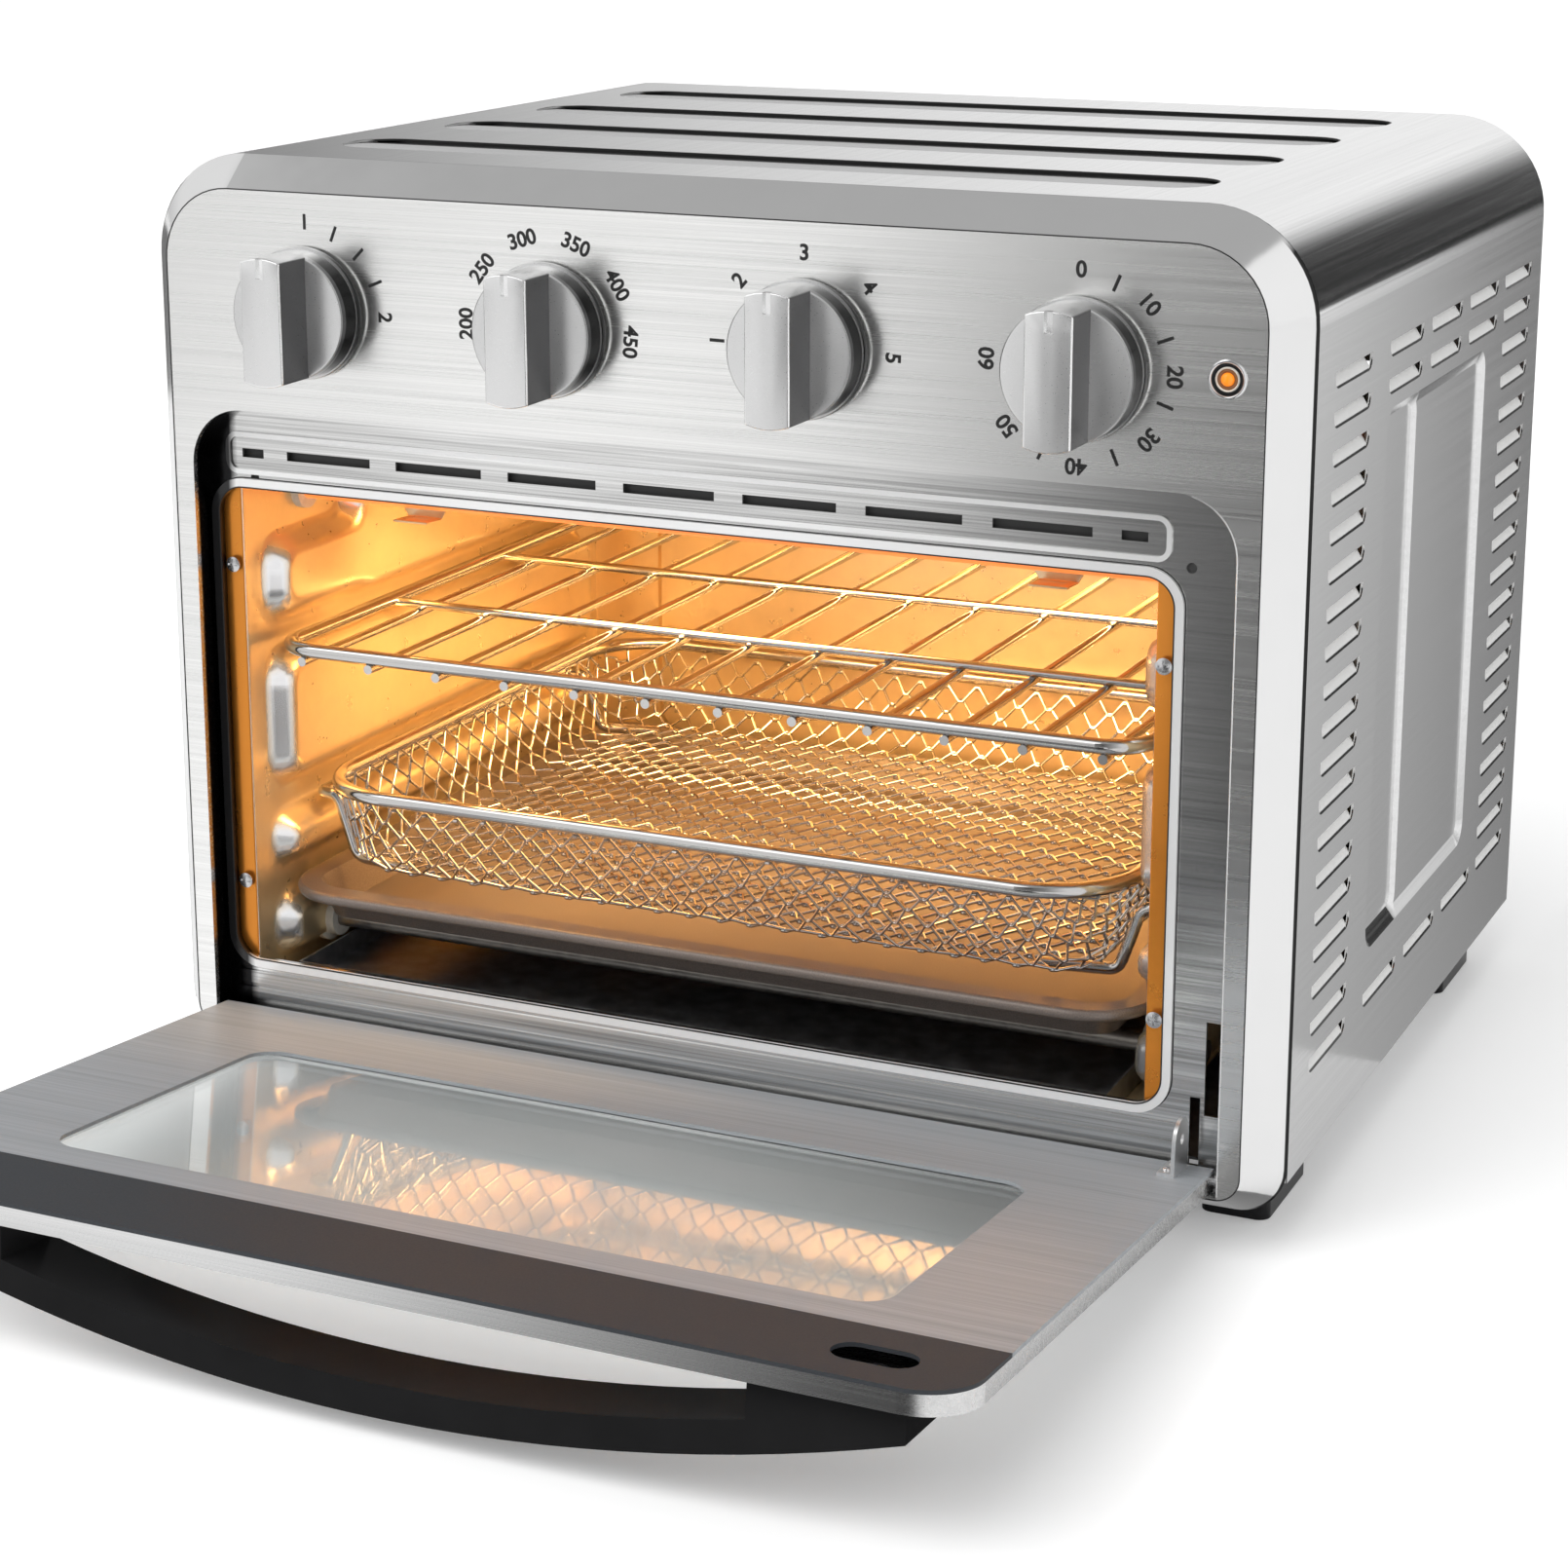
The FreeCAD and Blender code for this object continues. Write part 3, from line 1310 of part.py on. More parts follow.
def hinge_ear():
    """Upright ear on the door's inner face beside the hinge, with a foot and a round hole near its end."""
    x = ear_x()
    z0 = hinge_z + ear_start
    y1 = door_inner + ear_height
    radius = ear_width / 2.0
    plate = slab(x, x + ear_sheet, door_inner, y1 - radius, z0, z0 + ear_width)
    end = rod((x, y1 - radius, z0 + radius), (x + ear_sheet, y1 - radius, z0 + radius), radius)
    foot = slab(x + ear_sheet - 5.5, x + ear_sheet, door_inner, door_inner + ear_sheet, z0, z0 + ear_width)
    hole = rod((x, y1 - radius, z0 + radius), (x + ear_sheet, y1 - radius, z0 + radius), ear_hole_radius)
    return plate.fuse([end, foot]).cut(hole)


def pin_span():
    return door_half_width - pin_reach, cutout_half_width + return_sheet + bracket_sheet


def hinge_pins():
    """Pins on the hinge line, fixed in the brackets and turning in the door's side walls."""
    inner, outer = pin_span()
    return [rod((side * inner, hinge_y, hinge_z), (side * outer, hinge_y, hinge_z), pin_radius)
            for side in (-1, 1)]


def hinge_brackets():
    """Plates outside the recess that carry the pins, folded out behind the frame's edge."""
    found = []
    for side in (-1, 1):
        a = cutout_half_width + return_sheet
        b = a + bracket_sheet
        x0, x1 = min(side * a, side * b), max(side * a, side * b)
        plate = slab(x0, x1, panel_sheet, recess_depth, hinge_z - 3.0, hinge_z + bracket_size)
        hole = rod((x0, hinge_y, hinge_z), (x1, hinge_y, hinge_z), pin_radius)
        found.append(plate.cut(hole))
    return found


def opened(shape):
    """Door piece swung down to where it rests."""
    return shape.rotated(V(0, hinge_y, hinge_z), V(1, 0, 0), open_angle)


def build():
    door = {
        "door_shell": [door_shell()],
        "door_inner_panel": [door_inner_panel()],
        "door_trim": [door_trim()],
        "door_glass": [door_glass()],
        "glass_seal": [glass_seal()],
        "door_handle": [door_handle()],
        "handle_screws": handle_screws(),
        "hinge_ear": [hinge_ear()],
    }
    nodes = {
        "outer_wrap": [outer_wrap()],
        "front_ring": [front_ring()],
        "control_panel": [control_panel()],
        "front_frame": [front_frame()],
        "back_panel": [back_panel()],
        "base_pan": [base_pan()],
        "feet": feet(),
        "foot_screws": foot_screws(),
        "case_screws": case_screws(),
        "flange_screws": flange_screws(),
        "rear_spacers": rear_spacers(),
        "cord_gland": [cord_gland()],
        "wiring_loom": [wiring_loom()],
        "cavity_left_wall": [cavity_side(1)],
        "cavity_right_wall": [cavity_side(-1)],
        "cavity_ceiling": [cavity_ceiling()],
        "cavity_floor": [cavity_floor()],
        "cavity_back_wall": [cavity_back_wall()],
        "upper_heaters": heaters(heater_upper_level),
        "lower_heaters": heaters(heater_lower_level),
        "heater_insulators": insulators(),
        "thermostat_probe": [probe()],
        "fan_chamber": [fan_chamber()],
        "fan_guard": [fan_guard()],
        "fan_wheel": [fan_wheel()],
        "cooling_fan": [cooling_fan()],
        "motor_shaft": [motor_shaft()],
        "fan_motor": [fan_motor()],
        "motor_bracket": [motor_bracket()],
        "lamp_ring": [lamp_ring()],
        "lamp_lens": [lamp_lens()],
        "hinge_pins": hinge_pins(),
        "hinge_brackets": hinge_brackets(),
        "wire_rack": [wire_rack()],
        "basket_rim": [basket_rim()],
        "basket_mesh": [basket_mesh()],
        "basket_carriers": basket_carriers(),
        "baking_tray": [baking_tray()],
        "crumb_tray": [crumb_tray()],
    }
    for i, name in enumerate(knob_names):
        nodes[name + "_knob"] = [knob(i)]
        nodes[name + "_spindle"] = [spindle(i)]
        nodes[name + "_unit"] = [control_unit(i)]
    for name, shapes in door.items():
        nodes[name] = [opened(shape) for shape in shapes]
    return nodes


def main():
    os.makedirs("parts", exist_ok=True)
    nodes = {name: Part.makeCompound(shapes) for name, shapes in build().items()}
    whole = Part.makeCompound(list(nodes.values())).BoundBox
    centre_y = (whole.YMin + whole.YMax) / 2.0
    print("moved back by", round(-centre_y, 3), "box", whole)
    for name, shape in nodes.items():
        solids = shape.Solids
        if not solids or not all(s.isValid() for s in solids):
            print("not valid:", name)
        Part.makeCompound([s.translated(V(0, -centre_y, 0)) for s in solids]).exportStep(
            "parts/" + name + ".step")


main()
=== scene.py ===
import bpy
import bmesh
from math import copysign, cos, hypot, pi, radians, sin, tan
from mathutils import Matrix, Vector


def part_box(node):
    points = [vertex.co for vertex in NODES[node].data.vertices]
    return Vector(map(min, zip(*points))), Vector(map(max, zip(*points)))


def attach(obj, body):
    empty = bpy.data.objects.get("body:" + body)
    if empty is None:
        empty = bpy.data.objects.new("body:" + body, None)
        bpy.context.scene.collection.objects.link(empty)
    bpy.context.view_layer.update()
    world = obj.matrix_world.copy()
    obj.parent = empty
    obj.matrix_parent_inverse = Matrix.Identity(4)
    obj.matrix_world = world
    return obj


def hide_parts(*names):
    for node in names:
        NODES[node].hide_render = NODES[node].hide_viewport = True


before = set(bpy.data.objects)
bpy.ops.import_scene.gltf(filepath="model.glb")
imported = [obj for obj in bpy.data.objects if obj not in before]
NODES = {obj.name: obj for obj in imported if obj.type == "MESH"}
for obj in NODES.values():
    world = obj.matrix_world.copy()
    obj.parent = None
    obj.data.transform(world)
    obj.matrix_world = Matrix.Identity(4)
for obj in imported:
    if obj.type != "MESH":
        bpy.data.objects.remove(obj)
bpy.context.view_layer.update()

# Air fryer toaster oven with its door open, dressed for a plain studio.
# Lengths are written in millimetres across, behind the control panel's face and above the floor.

MM = 0.001
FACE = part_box("control_panel")[0].y
FRONT = FACE / MM
ops = bmesh.ops
SCENE = bpy.context.scene
ACROSS = Vector((1.0, 0.0, 0.0))
FORWARD = Vector((0.0, -1.0, 0.0))
ARC_STEPS = 12


def at(x, y, z):
    """Point in metres."""
    return Vector((x * MM, FACE + y * MM, z * MM))


# Materials

# Places of the colour sockets on a mixing node
COLOUR_A, COLOUR_B, COLOUR_OUT = 6, 7, 2
MASK_EDGE = 0.2


def put(made, **values):
    """Set an object's settings by name, and a node's sockets to values or to what other sockets give."""
    for name, value in values.items():
        if hasattr(made, name):
            setattr(made, name, value)
            continue
        socket = made.inputs[name.replace("_", " ")]
        if isinstance(value, bpy.types.NodeSocket):
            made.id_data.links.new(value, socket)
        else:
            socket.default_value = value
    return made


def new_material(name):
    """Material with its node tree and its shader."""
    made = put(bpy.data.materials.new(name), use_nodes=True)
    return made, made.node_tree, made.node_tree.nodes["Principled BSDF"]


def add(tree, kind, **values):
    """New node with its settings and sockets."""
    return put(tree.nodes.new(kind), **values)


def object_pattern(tree, scale, detail=2.0, seed=0.0):
    """Noise over the object's own coordinates, with a scale in features a metre for each axis."""
    coords = add(tree, "ShaderNodeTexCoord").outputs["Object"]
    place = add(tree, "ShaderNodeMapping", Vector=coords, Scale=scale, Location=[seed] * 3)
    noise = add(tree, "ShaderNodeTexNoise", Vector=place.outputs["Vector"], Scale=1.0, Detail=detail,
                Roughness=0.55)
    return noise.outputs["Fac"]


def spread(tree, source, low, high, start=0.3, stop=0.7):
    """Pattern stretched between two values."""
    node = add(tree, "ShaderNodeMapRange", Value=source, From_Min=start, From_Max=stop, To_Min=low, To_Max=high)
    return node.outputs["Result"]


def fade(tree, source, start, stop):
    """Mask that goes from 0 at one value of a pattern to 1 at another."""
    return spread(tree, source, 0.0, 1.0, start, stop)


def tint(tree, source, dark, light):
    """Pattern turned into a colour between two."""
    ramp = add(tree, "ShaderNodeValToRGB", Fac=source)
    for stop, position, colour in zip(ramp.color_ramp.elements, (0.3, 0.7), (dark, light)):
        stop.position, stop.color = position, (*colour, 1.0)
    return ramp.outputs["Color"]


def scaled(colour, factor):
    """Colour made darker or lighter."""
    return tuple(min(1.0, c * factor) for c in colour)


def coat(tree, shader, pattern, colour, contrast, rough_low, rough_high, height):
    """Colour, roughness and relief that follow one pattern, with the relief's height in metres."""
    skin = tint(tree, pattern, scaled(colour, 1.0 - contrast), scaled(colour, 1.0 + contrast))
    put(shader, Base_Color=skin, Roughness=spread(tree, pattern, rough_low, rough_high))
    if height:
        bump = add(tree, "ShaderNodeBump", Height=pattern, Strength=1.0, Distance=height)
        put(shader, Normal=bump.outputs["Normal"])


def brushed(name, colour, axis, rough=0.3, contrast=0.06, height=0.000003, metal=1.0, coarse=1.0):
    """Steel sheet with fine straight brushing along one axis."""
    made, tree, shader = new_material(name)
    fine, broad = [2400.0 / coarse] * 3, [500.0 / coarse] * 3
    fine[axis], broad[axis] = 9.0, 3.0
    lines = object_pattern(tree, fine, detail=3.0)
    bands = object_pattern(tree, broad, detail=2.0, seed=3.1)
    both = add(tree, "ShaderNodeMix", data_type="FLOAT", Factor=0.4, A=lines, B=bands)
    coat(tree, shader, both.outputs["Result"], colour, contrast, rough + 0.07, rough - 0.05, height)
    put(shader, Metallic=metal)
    return made


def painted_return_shade(made, axis, bright_edge, dark_edge):
    """Painted shade: darken a sheet past a line across it, in millimetres, where it turns away into a gap."""
    tree = made.node_tree
    offset = FACE if axis == "Y" else 0.0
    shade = fade(tree, object_axes(tree)[axis], offset + bright_edge * MM, offset + dark_edge * MM)
    return repaint(made, shade, (0.02, 0.02, 0.021))


def painted_over(tree, mask, base, colour):
    """Colour of a socket with another colour where a mask is 1."""
    mixed = add(tree, "ShaderNodeMix", data_type="RGBA", Factor=mask)
    tree.links.new(base, mixed.inputs[COLOUR_A])
    mixed.inputs[COLOUR_B].default_value = (*colour, 1.0)
    return mixed.outputs[COLOUR_OUT]


def repaint(made, mask, colour, metal=None, rough=None):
    """Change a material's colour, and its metal and roughness if given, where a mask is 1."""
    tree = made.node_tree
    shader = tree.nodes["Principled BSDF"]
    skin = shader.inputs["Base Color"]
    tree.links.new(painted_over(tree, mask, skin.links[0].from_socket, colour), skin)
    for socket, value in ((shader.inputs["Metallic"], metal), (shader.inputs["Roughness"], rough)):
        if value is None:
            continue
        before = socket.links[0].from_socket if socket.links else socket.default_value
        blend = add(tree, "ShaderNodeMix", data_type="FLOAT", Factor=mask, A=before, B=value)
        tree.links.new(blend.outputs["Result"], socket)
    return made


def object_axes(tree, output="Object"):
    """Coordinates split by axis: the object's own, its normal or the world's directions."""
    coords = add(tree, "ShaderNodeTexCoord").outputs[output]
    return add(tree, "ShaderNodeSeparateXYZ", Vector=coords).outputs


def combined(tree, first, second=None, operation="MULTIPLY"):
    """Number worked out from one or two others; for two masks, where both are 1."""
    node = add(tree, "ShaderNodeMath", operation=operation)
    tree.links.new(first, node.inputs[0])
    if second is not None:
        tree.links.new(second, node.inputs[1])
    return node.outputs["Value"]


def painted_shade_flanks(made):
    """Painted shade: dark grey on faces that look to the left or right, as on a knob's grip, and near black where
    such faces lie on the disc's side wall.
    """
    tree = made.node_tree
    sideways = combined(tree, object_axes(tree, "Normal")["X"], operation="ABSOLUTE")
    flanks = fade(tree, sideways, 0.25, 0.85)
    repaint(made, flanks, (0.10, 0.10, 0.102))
    wall = within(tree, object_axes(tree)["Y"], FRONT - 9.6, FRONT - 2.4)
    return repaint(made, combined(tree, flanks, wall), (0.012, 0.012, 0.012))


def within(tree, value, low, high):
    """Mask between two millimetre marks on an axis."""
    rise = fade(tree, value, (low - MASK_EDGE) * MM, low * MM)
    fall = fade(tree, value, (high + MASK_EDGE) * MM, high * MM)
    return combined(tree, rise, fall)


# Millimetre marks of the pressed side panel, the side louvres, the top slots and the painted shade along the slots'
# upper edge
PRESSING_Y, PRESSING_Z = (FRONT + 94.0, FRONT + 227.0), (68.0, 246.0)
LOUVRE_X, LOUVRE_Z = (150.0, 195.4), (0.0, 286.0)
TOP_SLOT_X, TOP_SLOT_Z, TOP_SLOT_SHADE_Z = (-1.0, 152.0), (306.0, 315.7), (312.4, 315.8)


def painted_louvre_light_and_shade(made):
    """Painted reflection and shade: pale matt ramps inside the side louvres for their bright reflection, grey inside
    the top slots, and painted black shade along the slots' upper edge.
    """
    tree = made.node_tree
    axes = object_axes(tree)
    aside = combined(tree, axes["X"], operation="ABSOLUTE")
    panel = combined(tree, within(tree, axes["Y"], *PRESSING_Y), within(tree, axes["Z"], *PRESSING_Z))
    off_panel = fade(tree, panel, 1.0, 0.0)
    louvres = combined(tree, within(tree, aside, *LOUVRE_X), within(tree, axes["Z"], *LOUVRE_Z))
    # Painted reflection: near white and matt on the louvres' ramps.
    repaint(made, combined(tree, louvres, off_panel), (0.93, 0.93, 0.92), metal=0.0, rough=0.5)
    across = within(tree, aside, *TOP_SLOT_X)
    slots = combined(tree, across, within(tree, axes["Z"], *TOP_SLOT_Z))
    repaint(made, slots, (0.42, 0.42, 0.42), metal=0.2, rough=0.5)
    # Painted shade: black on the upper edge of the top slots where it faces forward.
    facing = fade(tree, object_axes(tree, "Normal")["Y"], -0.4, -0.6)
    edge = combined(tree, across, within(tree, axes["Z"], *TOP_SLOT_SHADE_Z))
    return repaint(made, combined(tree, edge, facing), (0.008, 0.008, 0.008), metal=0.0, rough=0.5)


def dark_joint(made):
    """Dark line along the ring's rear edge, down both sides."""
    tree = made.node_tree
    axes = object_axes(tree)
    side = fade(tree, combined(tree, axes["X"], operation="ABSOLUTE"), 0.184, 0.188)
    rear = within(tree, axes["Y"], FRONT + 12.2, FRONT + 13.6)
    return repaint(made, combined(tree, side, rear), (0.03, 0.03, 0.03))


def painted_highlight_slopes(made):
    """Painted highlight: pale silver, more metallic and smoother, on slopes that face forward, as on the pressed
    tracks.
    """
    tree = made.node_tree
    forward = fade(tree, object_axes(tree, "Normal")["Y"], -0.35, -0.75)
    return repaint(made, forward, (0.93, 0.93, 0.94), metal=0.9, rough=0.2)


def painted_highlight_bead(made):
    """Painted highlight: pale, half-metal and smooth on the frame's raised bead and on the outline of its air band.
    """
    tree = made.node_tree
    raised = fade(tree, object_axes(tree)["Y"], FACE + 9.35 * MM, FACE + 9.2 * MM)
    return repaint(made, raised, (0.90, 0.90, 0.90), metal=0.3, rough=0.16)


def plain_metal(name, colour, rough, mottle=0.05, scale=60.0):
    """Metal with a faint cloudy finish."""
    made, tree, shader = new_material(name)
    clouds = object_pattern(tree, [scale] * 3, detail=4.0)
    coat(tree, shader, clouds, colour, mottle, rough * 0.85, rough * 1.2, 0.0)
    put(shader, Metallic=1.0)
    return made


def moulded(name, colour, rough, grain=900.0, height=0.00001, metal=0.0, mottle=0.1, shine=0.5, bend=1.5):
    """Plastic, enamel or rubber with a fine grain."""
    made, tree, shader = new_material(name)
    texture = object_pattern(tree, [grain] * 3, detail=3.0)
    coat(tree, shader, texture, colour, mottle, rough * 0.9, rough * 1.1, height)
    put(shader, Metallic=metal, Specular_IOR_Level=shine, IOR=bend)
    return made


def enamel(name, colour, metal):
    """Smooth glossy coat of the cavity's sheets."""
    return moulded(name, colour, 0.30, grain=140.0, height=0.0, metal=metal, mottle=0.03)


def glass(name):
    """Clear tempered pane with a faint cast."""
    made, tree, shader = new_material(name)
    haze = object_pattern(tree, [30.0] * 3, detail=3.0)
    put(shader, Base_Color=tint(tree, haze, (0.90, 0.94, 0.93), (0.95, 0.97, 0.96)),
        Roughness=spread(tree, haze, 0.01, 0.04), Transmission_Weight=1.0, IOR=1.45)
    return made


def glowing(name, colour, glow, strength, rough=0.3):
    """Surface that gives off its own light, unevenly."""
    made, tree, shader = new_material(name)
    clouds = object_pattern(tree, (25.0, 120.0, 120.0), detail=2.0)
    put(shader, Base_Color=(*colour, 1.0), Roughness=rough, Emission_Strength=strength,
        Emission_Color=tint(tree, clouds, scaled(glow, 0.8), glow))
    return made


FINISHES = {
    # Panel: painted shade on the returns into its opening.
    "panel": painted_return_shade(brushed("panel_steel", (0.91, 0.91, 0.90), 0, rough=0.24, contrast=0.09), "Y", 1.6, 2.4),
    # Casing: painted reflection in the side louvres and painted shade in the top slots.
    "casing": painted_louvre_light_and_shade(brushed("casing_steel", (0.79, 0.79, 0.79), 1, rough=0.13, contrast=0.06)),
    "ring": dark_joint(plain_metal("ring_steel", (0.84, 0.84, 0.84), 0.14, mottle=0.01)),
    # Frame: painted shade along its left edge, and a painted highlight on its bead and air band outline.
    "recess": painted_return_shade(painted_highlight_bead(brushed("recess_steel", (0.66, 0.66, 0.655), 0, rough=0.2, contrast=0.5,
                                                height=0.000008, coarse=1.8)), "X", -167.0, -170.0),
    "door": brushed("door_steel", (0.70, 0.70, 0.70), 0, rough=0.26, contrast=0.10),
    "door_inner": brushed("door_inner_steel", (0.36, 0.38, 0.40), 0, rough=0.46, contrast=0.16, metal=0.22,
                          coarse=1.5),
    "band": moulded("door_band", (0.040, 0.044, 0.050), 0.55, grain=1500.0, shine=0.25),
    "cavity": enamel("cavity_sheet", (0.85, 0.67, 0.41), 0.72),
    # Pressed side walls: painted highlight on their forward slopes.
    "pressed": painted_highlight_slopes(enamel("pressed_sheet", (0.85, 0.67, 0.41), 0.72)),
    # Flange front: deep orange, a painted reflection of the oven's warm light.
    "flange": enamel("flange_painted_warm_reflection", (0.78, 0.28, 0.04), 0.8),
    "wire": plain_metal("bright_wire", (0.60, 0.59, 0.58), 0.11, mottle=0.02),
    "zinc": plain_metal("zinc_sheet", (0.50, 0.51, 0.53), 0.42, mottle=0.18, scale=160.0),
    "chrome": plain_metal("chrome_wire", (0.78, 0.78, 0.79), 0.10, mottle=0.02),
    "ear": plain_metal("ear_steel", (0.90, 0.90, 0.90), 0.34, mottle=0.04, scale=700.0),
    "screw": plain_metal("plated_steel", (0.66, 0.66, 0.67), 0.24, mottle=0.06, scale=900.0),
    # Knobs: painted shade on the grip's flanks and on the disc's side wall.
    "knob": painted_shade_flanks(moulded("knob_satin", (0.76, 0.76, 0.76), 0.30, grain=1800.0, height=0.000002, metal=0.85,
                                mottle=0.02)),
    # Brighter copy of the knob's metal: painted highlight on the knobs' bevels and the opening's cut edge, and the
    # pointer groove.
    "bright_and_painted_highlight": plain_metal("knob_bright_and_painted_highlight", (0.92, 0.92, 0.92), 0.22, mottle=0.01, scale=1200.0),
    # Black for print and joint lines, and for painted shade on the bead's edges and the top slots' blades.
    "ink_and_painted_shade": moulded("black_ink_and_painted_shade", (0.012, 0.012, 0.012), 0.45, grain=2500.0, height=0.0),
    "tray": moulded("tray_coating", (0.20, 0.165, 0.145), 0.36, grain=2200.0, metal=0.55, mottle=0.2),
    "gloss": moulded("gloss_black", (0.012, 0.012, 0.013), 0.14, grain=40.0, height=0.0, shine=0.3),
    "handle": moulded("handle_black", (0.0145, 0.0145, 0.015), 0.18, grain=40.0, height=0.0, shine=0.06, bend=1.15),
    "black": moulded("matt_black", (0.022, 0.022, 0.023), 0.48, grain=1400.0),
    "seal": moulded("seal_black", (0.03, 0.03, 0.03), 0.6),
    "ceramic": moulded("ceramic", (0.80, 0.77, 0.70), 0.35, grain=300.0),
    "nylon": moulded("unit_nylon", (0.70, 0.66, 0.56), 0.45, grain=300.0),
    "lead": moulded("lead_sleeve", (0.05, 0.05, 0.055), 0.5, grain=500.0),
    "motor": moulded("motor_paint", (0.12, 0.13, 0.15), 0.4, grain=200.0, metal=0.5),
    "glass": glass("door_pane"),
    "element": glowing("hot_element", (0.25, 0.16, 0.12), (1.0, 0.22, 0.03), 1.2),
    "element_cold": plain_metal("dull_element", (0.36, 0.33, 0.30), 0.38, mottle=0.2, scale=200.0),
    "amber": glowing("amber_lens", (0.85, 0.26, 0.02), (1.0, 0.22, 0.005), 0.5, rough=0.08),
    "lamp_brown": moulded("lamp_brown", (0.22, 0.09, 0.03), 0.3, grain=900.0),
    "slot_blade": moulded("slot_blade", (0.42, 0.42, 0.42), 0.55, grain=1200.0, shine=0.3),
    # Near black for the painted shade in the frame's holes and slots.
    "painted_slot_shade": moulded("painted_slot_shade", (0.045, 0.045, 0.045), 0.6, grain=1500.0),
}

# Nodes of the CAD model by their finish
DRESSED = {
    "casing": "outer_wrap", "ring": "front_ring", "panel": "control_panel", "recess": "front_frame",
    "zinc": "back_panel base_pan fan_chamber motor_bracket hinge_brackets crumb_tray", "gloss": "feet",
    "screw": "foot_screws case_screws flange_screws hinge_pins handle_screws fan_wheel cooling_fan motor_shaft",
    "black": "rear_spacers cord_gland", "lead": "wiring_loom",
    "cavity": "cavity_left_wall cavity_right_wall cavity_ceiling cavity_floor cavity_back_wall fan_guard",
    "element": "upper_heaters", "element_cold": "lower_heaters", "ceramic": "heater_insulators",
    "chrome": "thermostat_probe lamp_ring", "motor": "fan_motor", "amber": "lamp_lens", "door": "door_shell",
    "door_inner": "door_inner_panel", "band": "door_trim", "glass": "door_glass", "seal": "glass_seal",
    "handle": "door_handle", "ear": "hinge_ear", "wire": "wire_rack basket_rim basket_mesh basket_carriers",
    "tray": "baking_tray",
}
KNOBS = ["speed", "temperature", "function", "timer"]


def dress(node, finish):
    """Give a node of the CAD model its finish."""
    NODES[node].data.materials.clear()
    NODES[node].data.materials.append(FINISHES[finish])


for finish, nodes in DRESSED.items():
    for node in nodes.split():
        dress(node, finish)
for knob in KNOBS:
    for ending, finish in (("_knob", "knob"), ("_spindle", "screw"), ("_unit", "nylon")):
        dress(knob + ending, finish)


# Making pieces

def show(made):
    """Put an object in the scene."""
    SCENE.collection.objects.link(made)
    return made


def keep(name, shape, finishes, body="oven", replaced=(), smooth=32.0):
    """Turn a bmesh into a piece that rides on a body."""
    ops.remove_doubles(shape, verts=shape.verts, dist=0.000002)
    ops.recalc_face_normals(shape, faces=shape.faces)
    mesh = bpy.data.meshes.new(name)
    shape.to_mesh(mesh)
    shape.free()
    for finish in finishes:
        mesh.materials.append(FINISHES[finish])
    mesh.shade_smooth()
    mesh.set_sharp_from_angle(angle=radians(smooth))
    made = show(bpy.data.objects.new(name, mesh))
    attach(made, body)
    if replaced:
        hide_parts(*replaced)
    return made


def grid(shape, columns, rows, half=0.5):
    """Flat grid round the origin; gives its vertices."""
    return ops.create_grid(shape, x_segments=columns, y_segments=rows, size=half)["verts"]


def verts_of(geom):
    """Only the vertices of an operator's result."""
    return [item for item in geom if isinstance(item, bmesh.types.BMVert)]


def whole(shape):
    """All of a bmesh's geometry."""
    return shape.verts[:] + shape.edges[:] + shape.faces[:]


def folded(shape, edges, vec):
    """Extrude edges by a vector, and give the new vertices."""
    new = verts_of(ops.extrude_edge_only(shape, edges=edges)["geom"])
    ops.translate(shape, verts=new, vec=vec)
    return new


def thicken(made, thickness, edge_width, offset=-1.0):
    """Give a flat piece its thickness and its soft edges, in millimetres."""
    put(made.modifiers.new("sheet", "SOLIDIFY"), thickness=thickness * MM, offset=offset)
    put(made.modifiers.new("edge", "BEVEL"), width=edge_width * MM, segments=2)


def paint(faces):
    """Give faces the second of the piece's finishes."""
    for face in faces:
        face.material_index = 1


def middle_of(node, y=FACE):
    """Middle of a node's box across and in height, on the front panel's face or at another depth."""
    low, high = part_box(node)
    return Vector(((low.x + high.x) / 2.0, y, (low.z + high.z) / 2.0))


def turned(shape, profile, centre, axis=FORWARD, steps=64):
    """Turn (radius, distance) points in millimetres round an axis that is square to ACROSS."""
    points = [centre + ACROSS * (radius * MM) + axis * (along * MM) for radius, along in profile]
    verts = [shape.verts.new(point) for point in points]
    edges = [shape.edges.new(pair) for pair in zip(verts, verts[1:])]
    ops.spin(shape, geom=verts + edges, cent=centre, axis=axis, dvec=(0.0, 0.0, 0.0),
             angle=2.0 * pi, steps=steps, use_merge=True)
    ops.remove_doubles(shape, verts=shape.verts, dist=0.000002)


def rounded(points, radius, steps=8):
    """Bent wire's centre line: the corner points with each corner taken round an arc."""
    line = [points[0]]
    for before, corner, after in zip(points, points[1:], points[2:]):
        start, end = (before - corner).normalized(), (after - corner).normalized()
        half = start.angle(end) / 2.0
        setback = min(radius / tan(half), (before - corner).length * 0.5, (after - corner).length * 0.5)
        for i in range(steps + 1):
            t = i / steps
            first = corner + start * setback * (1.0 - t)
            second = corner + end * setback * t
            line.append(first.lerp(second, t))
    line.append(points[-1])
    return line


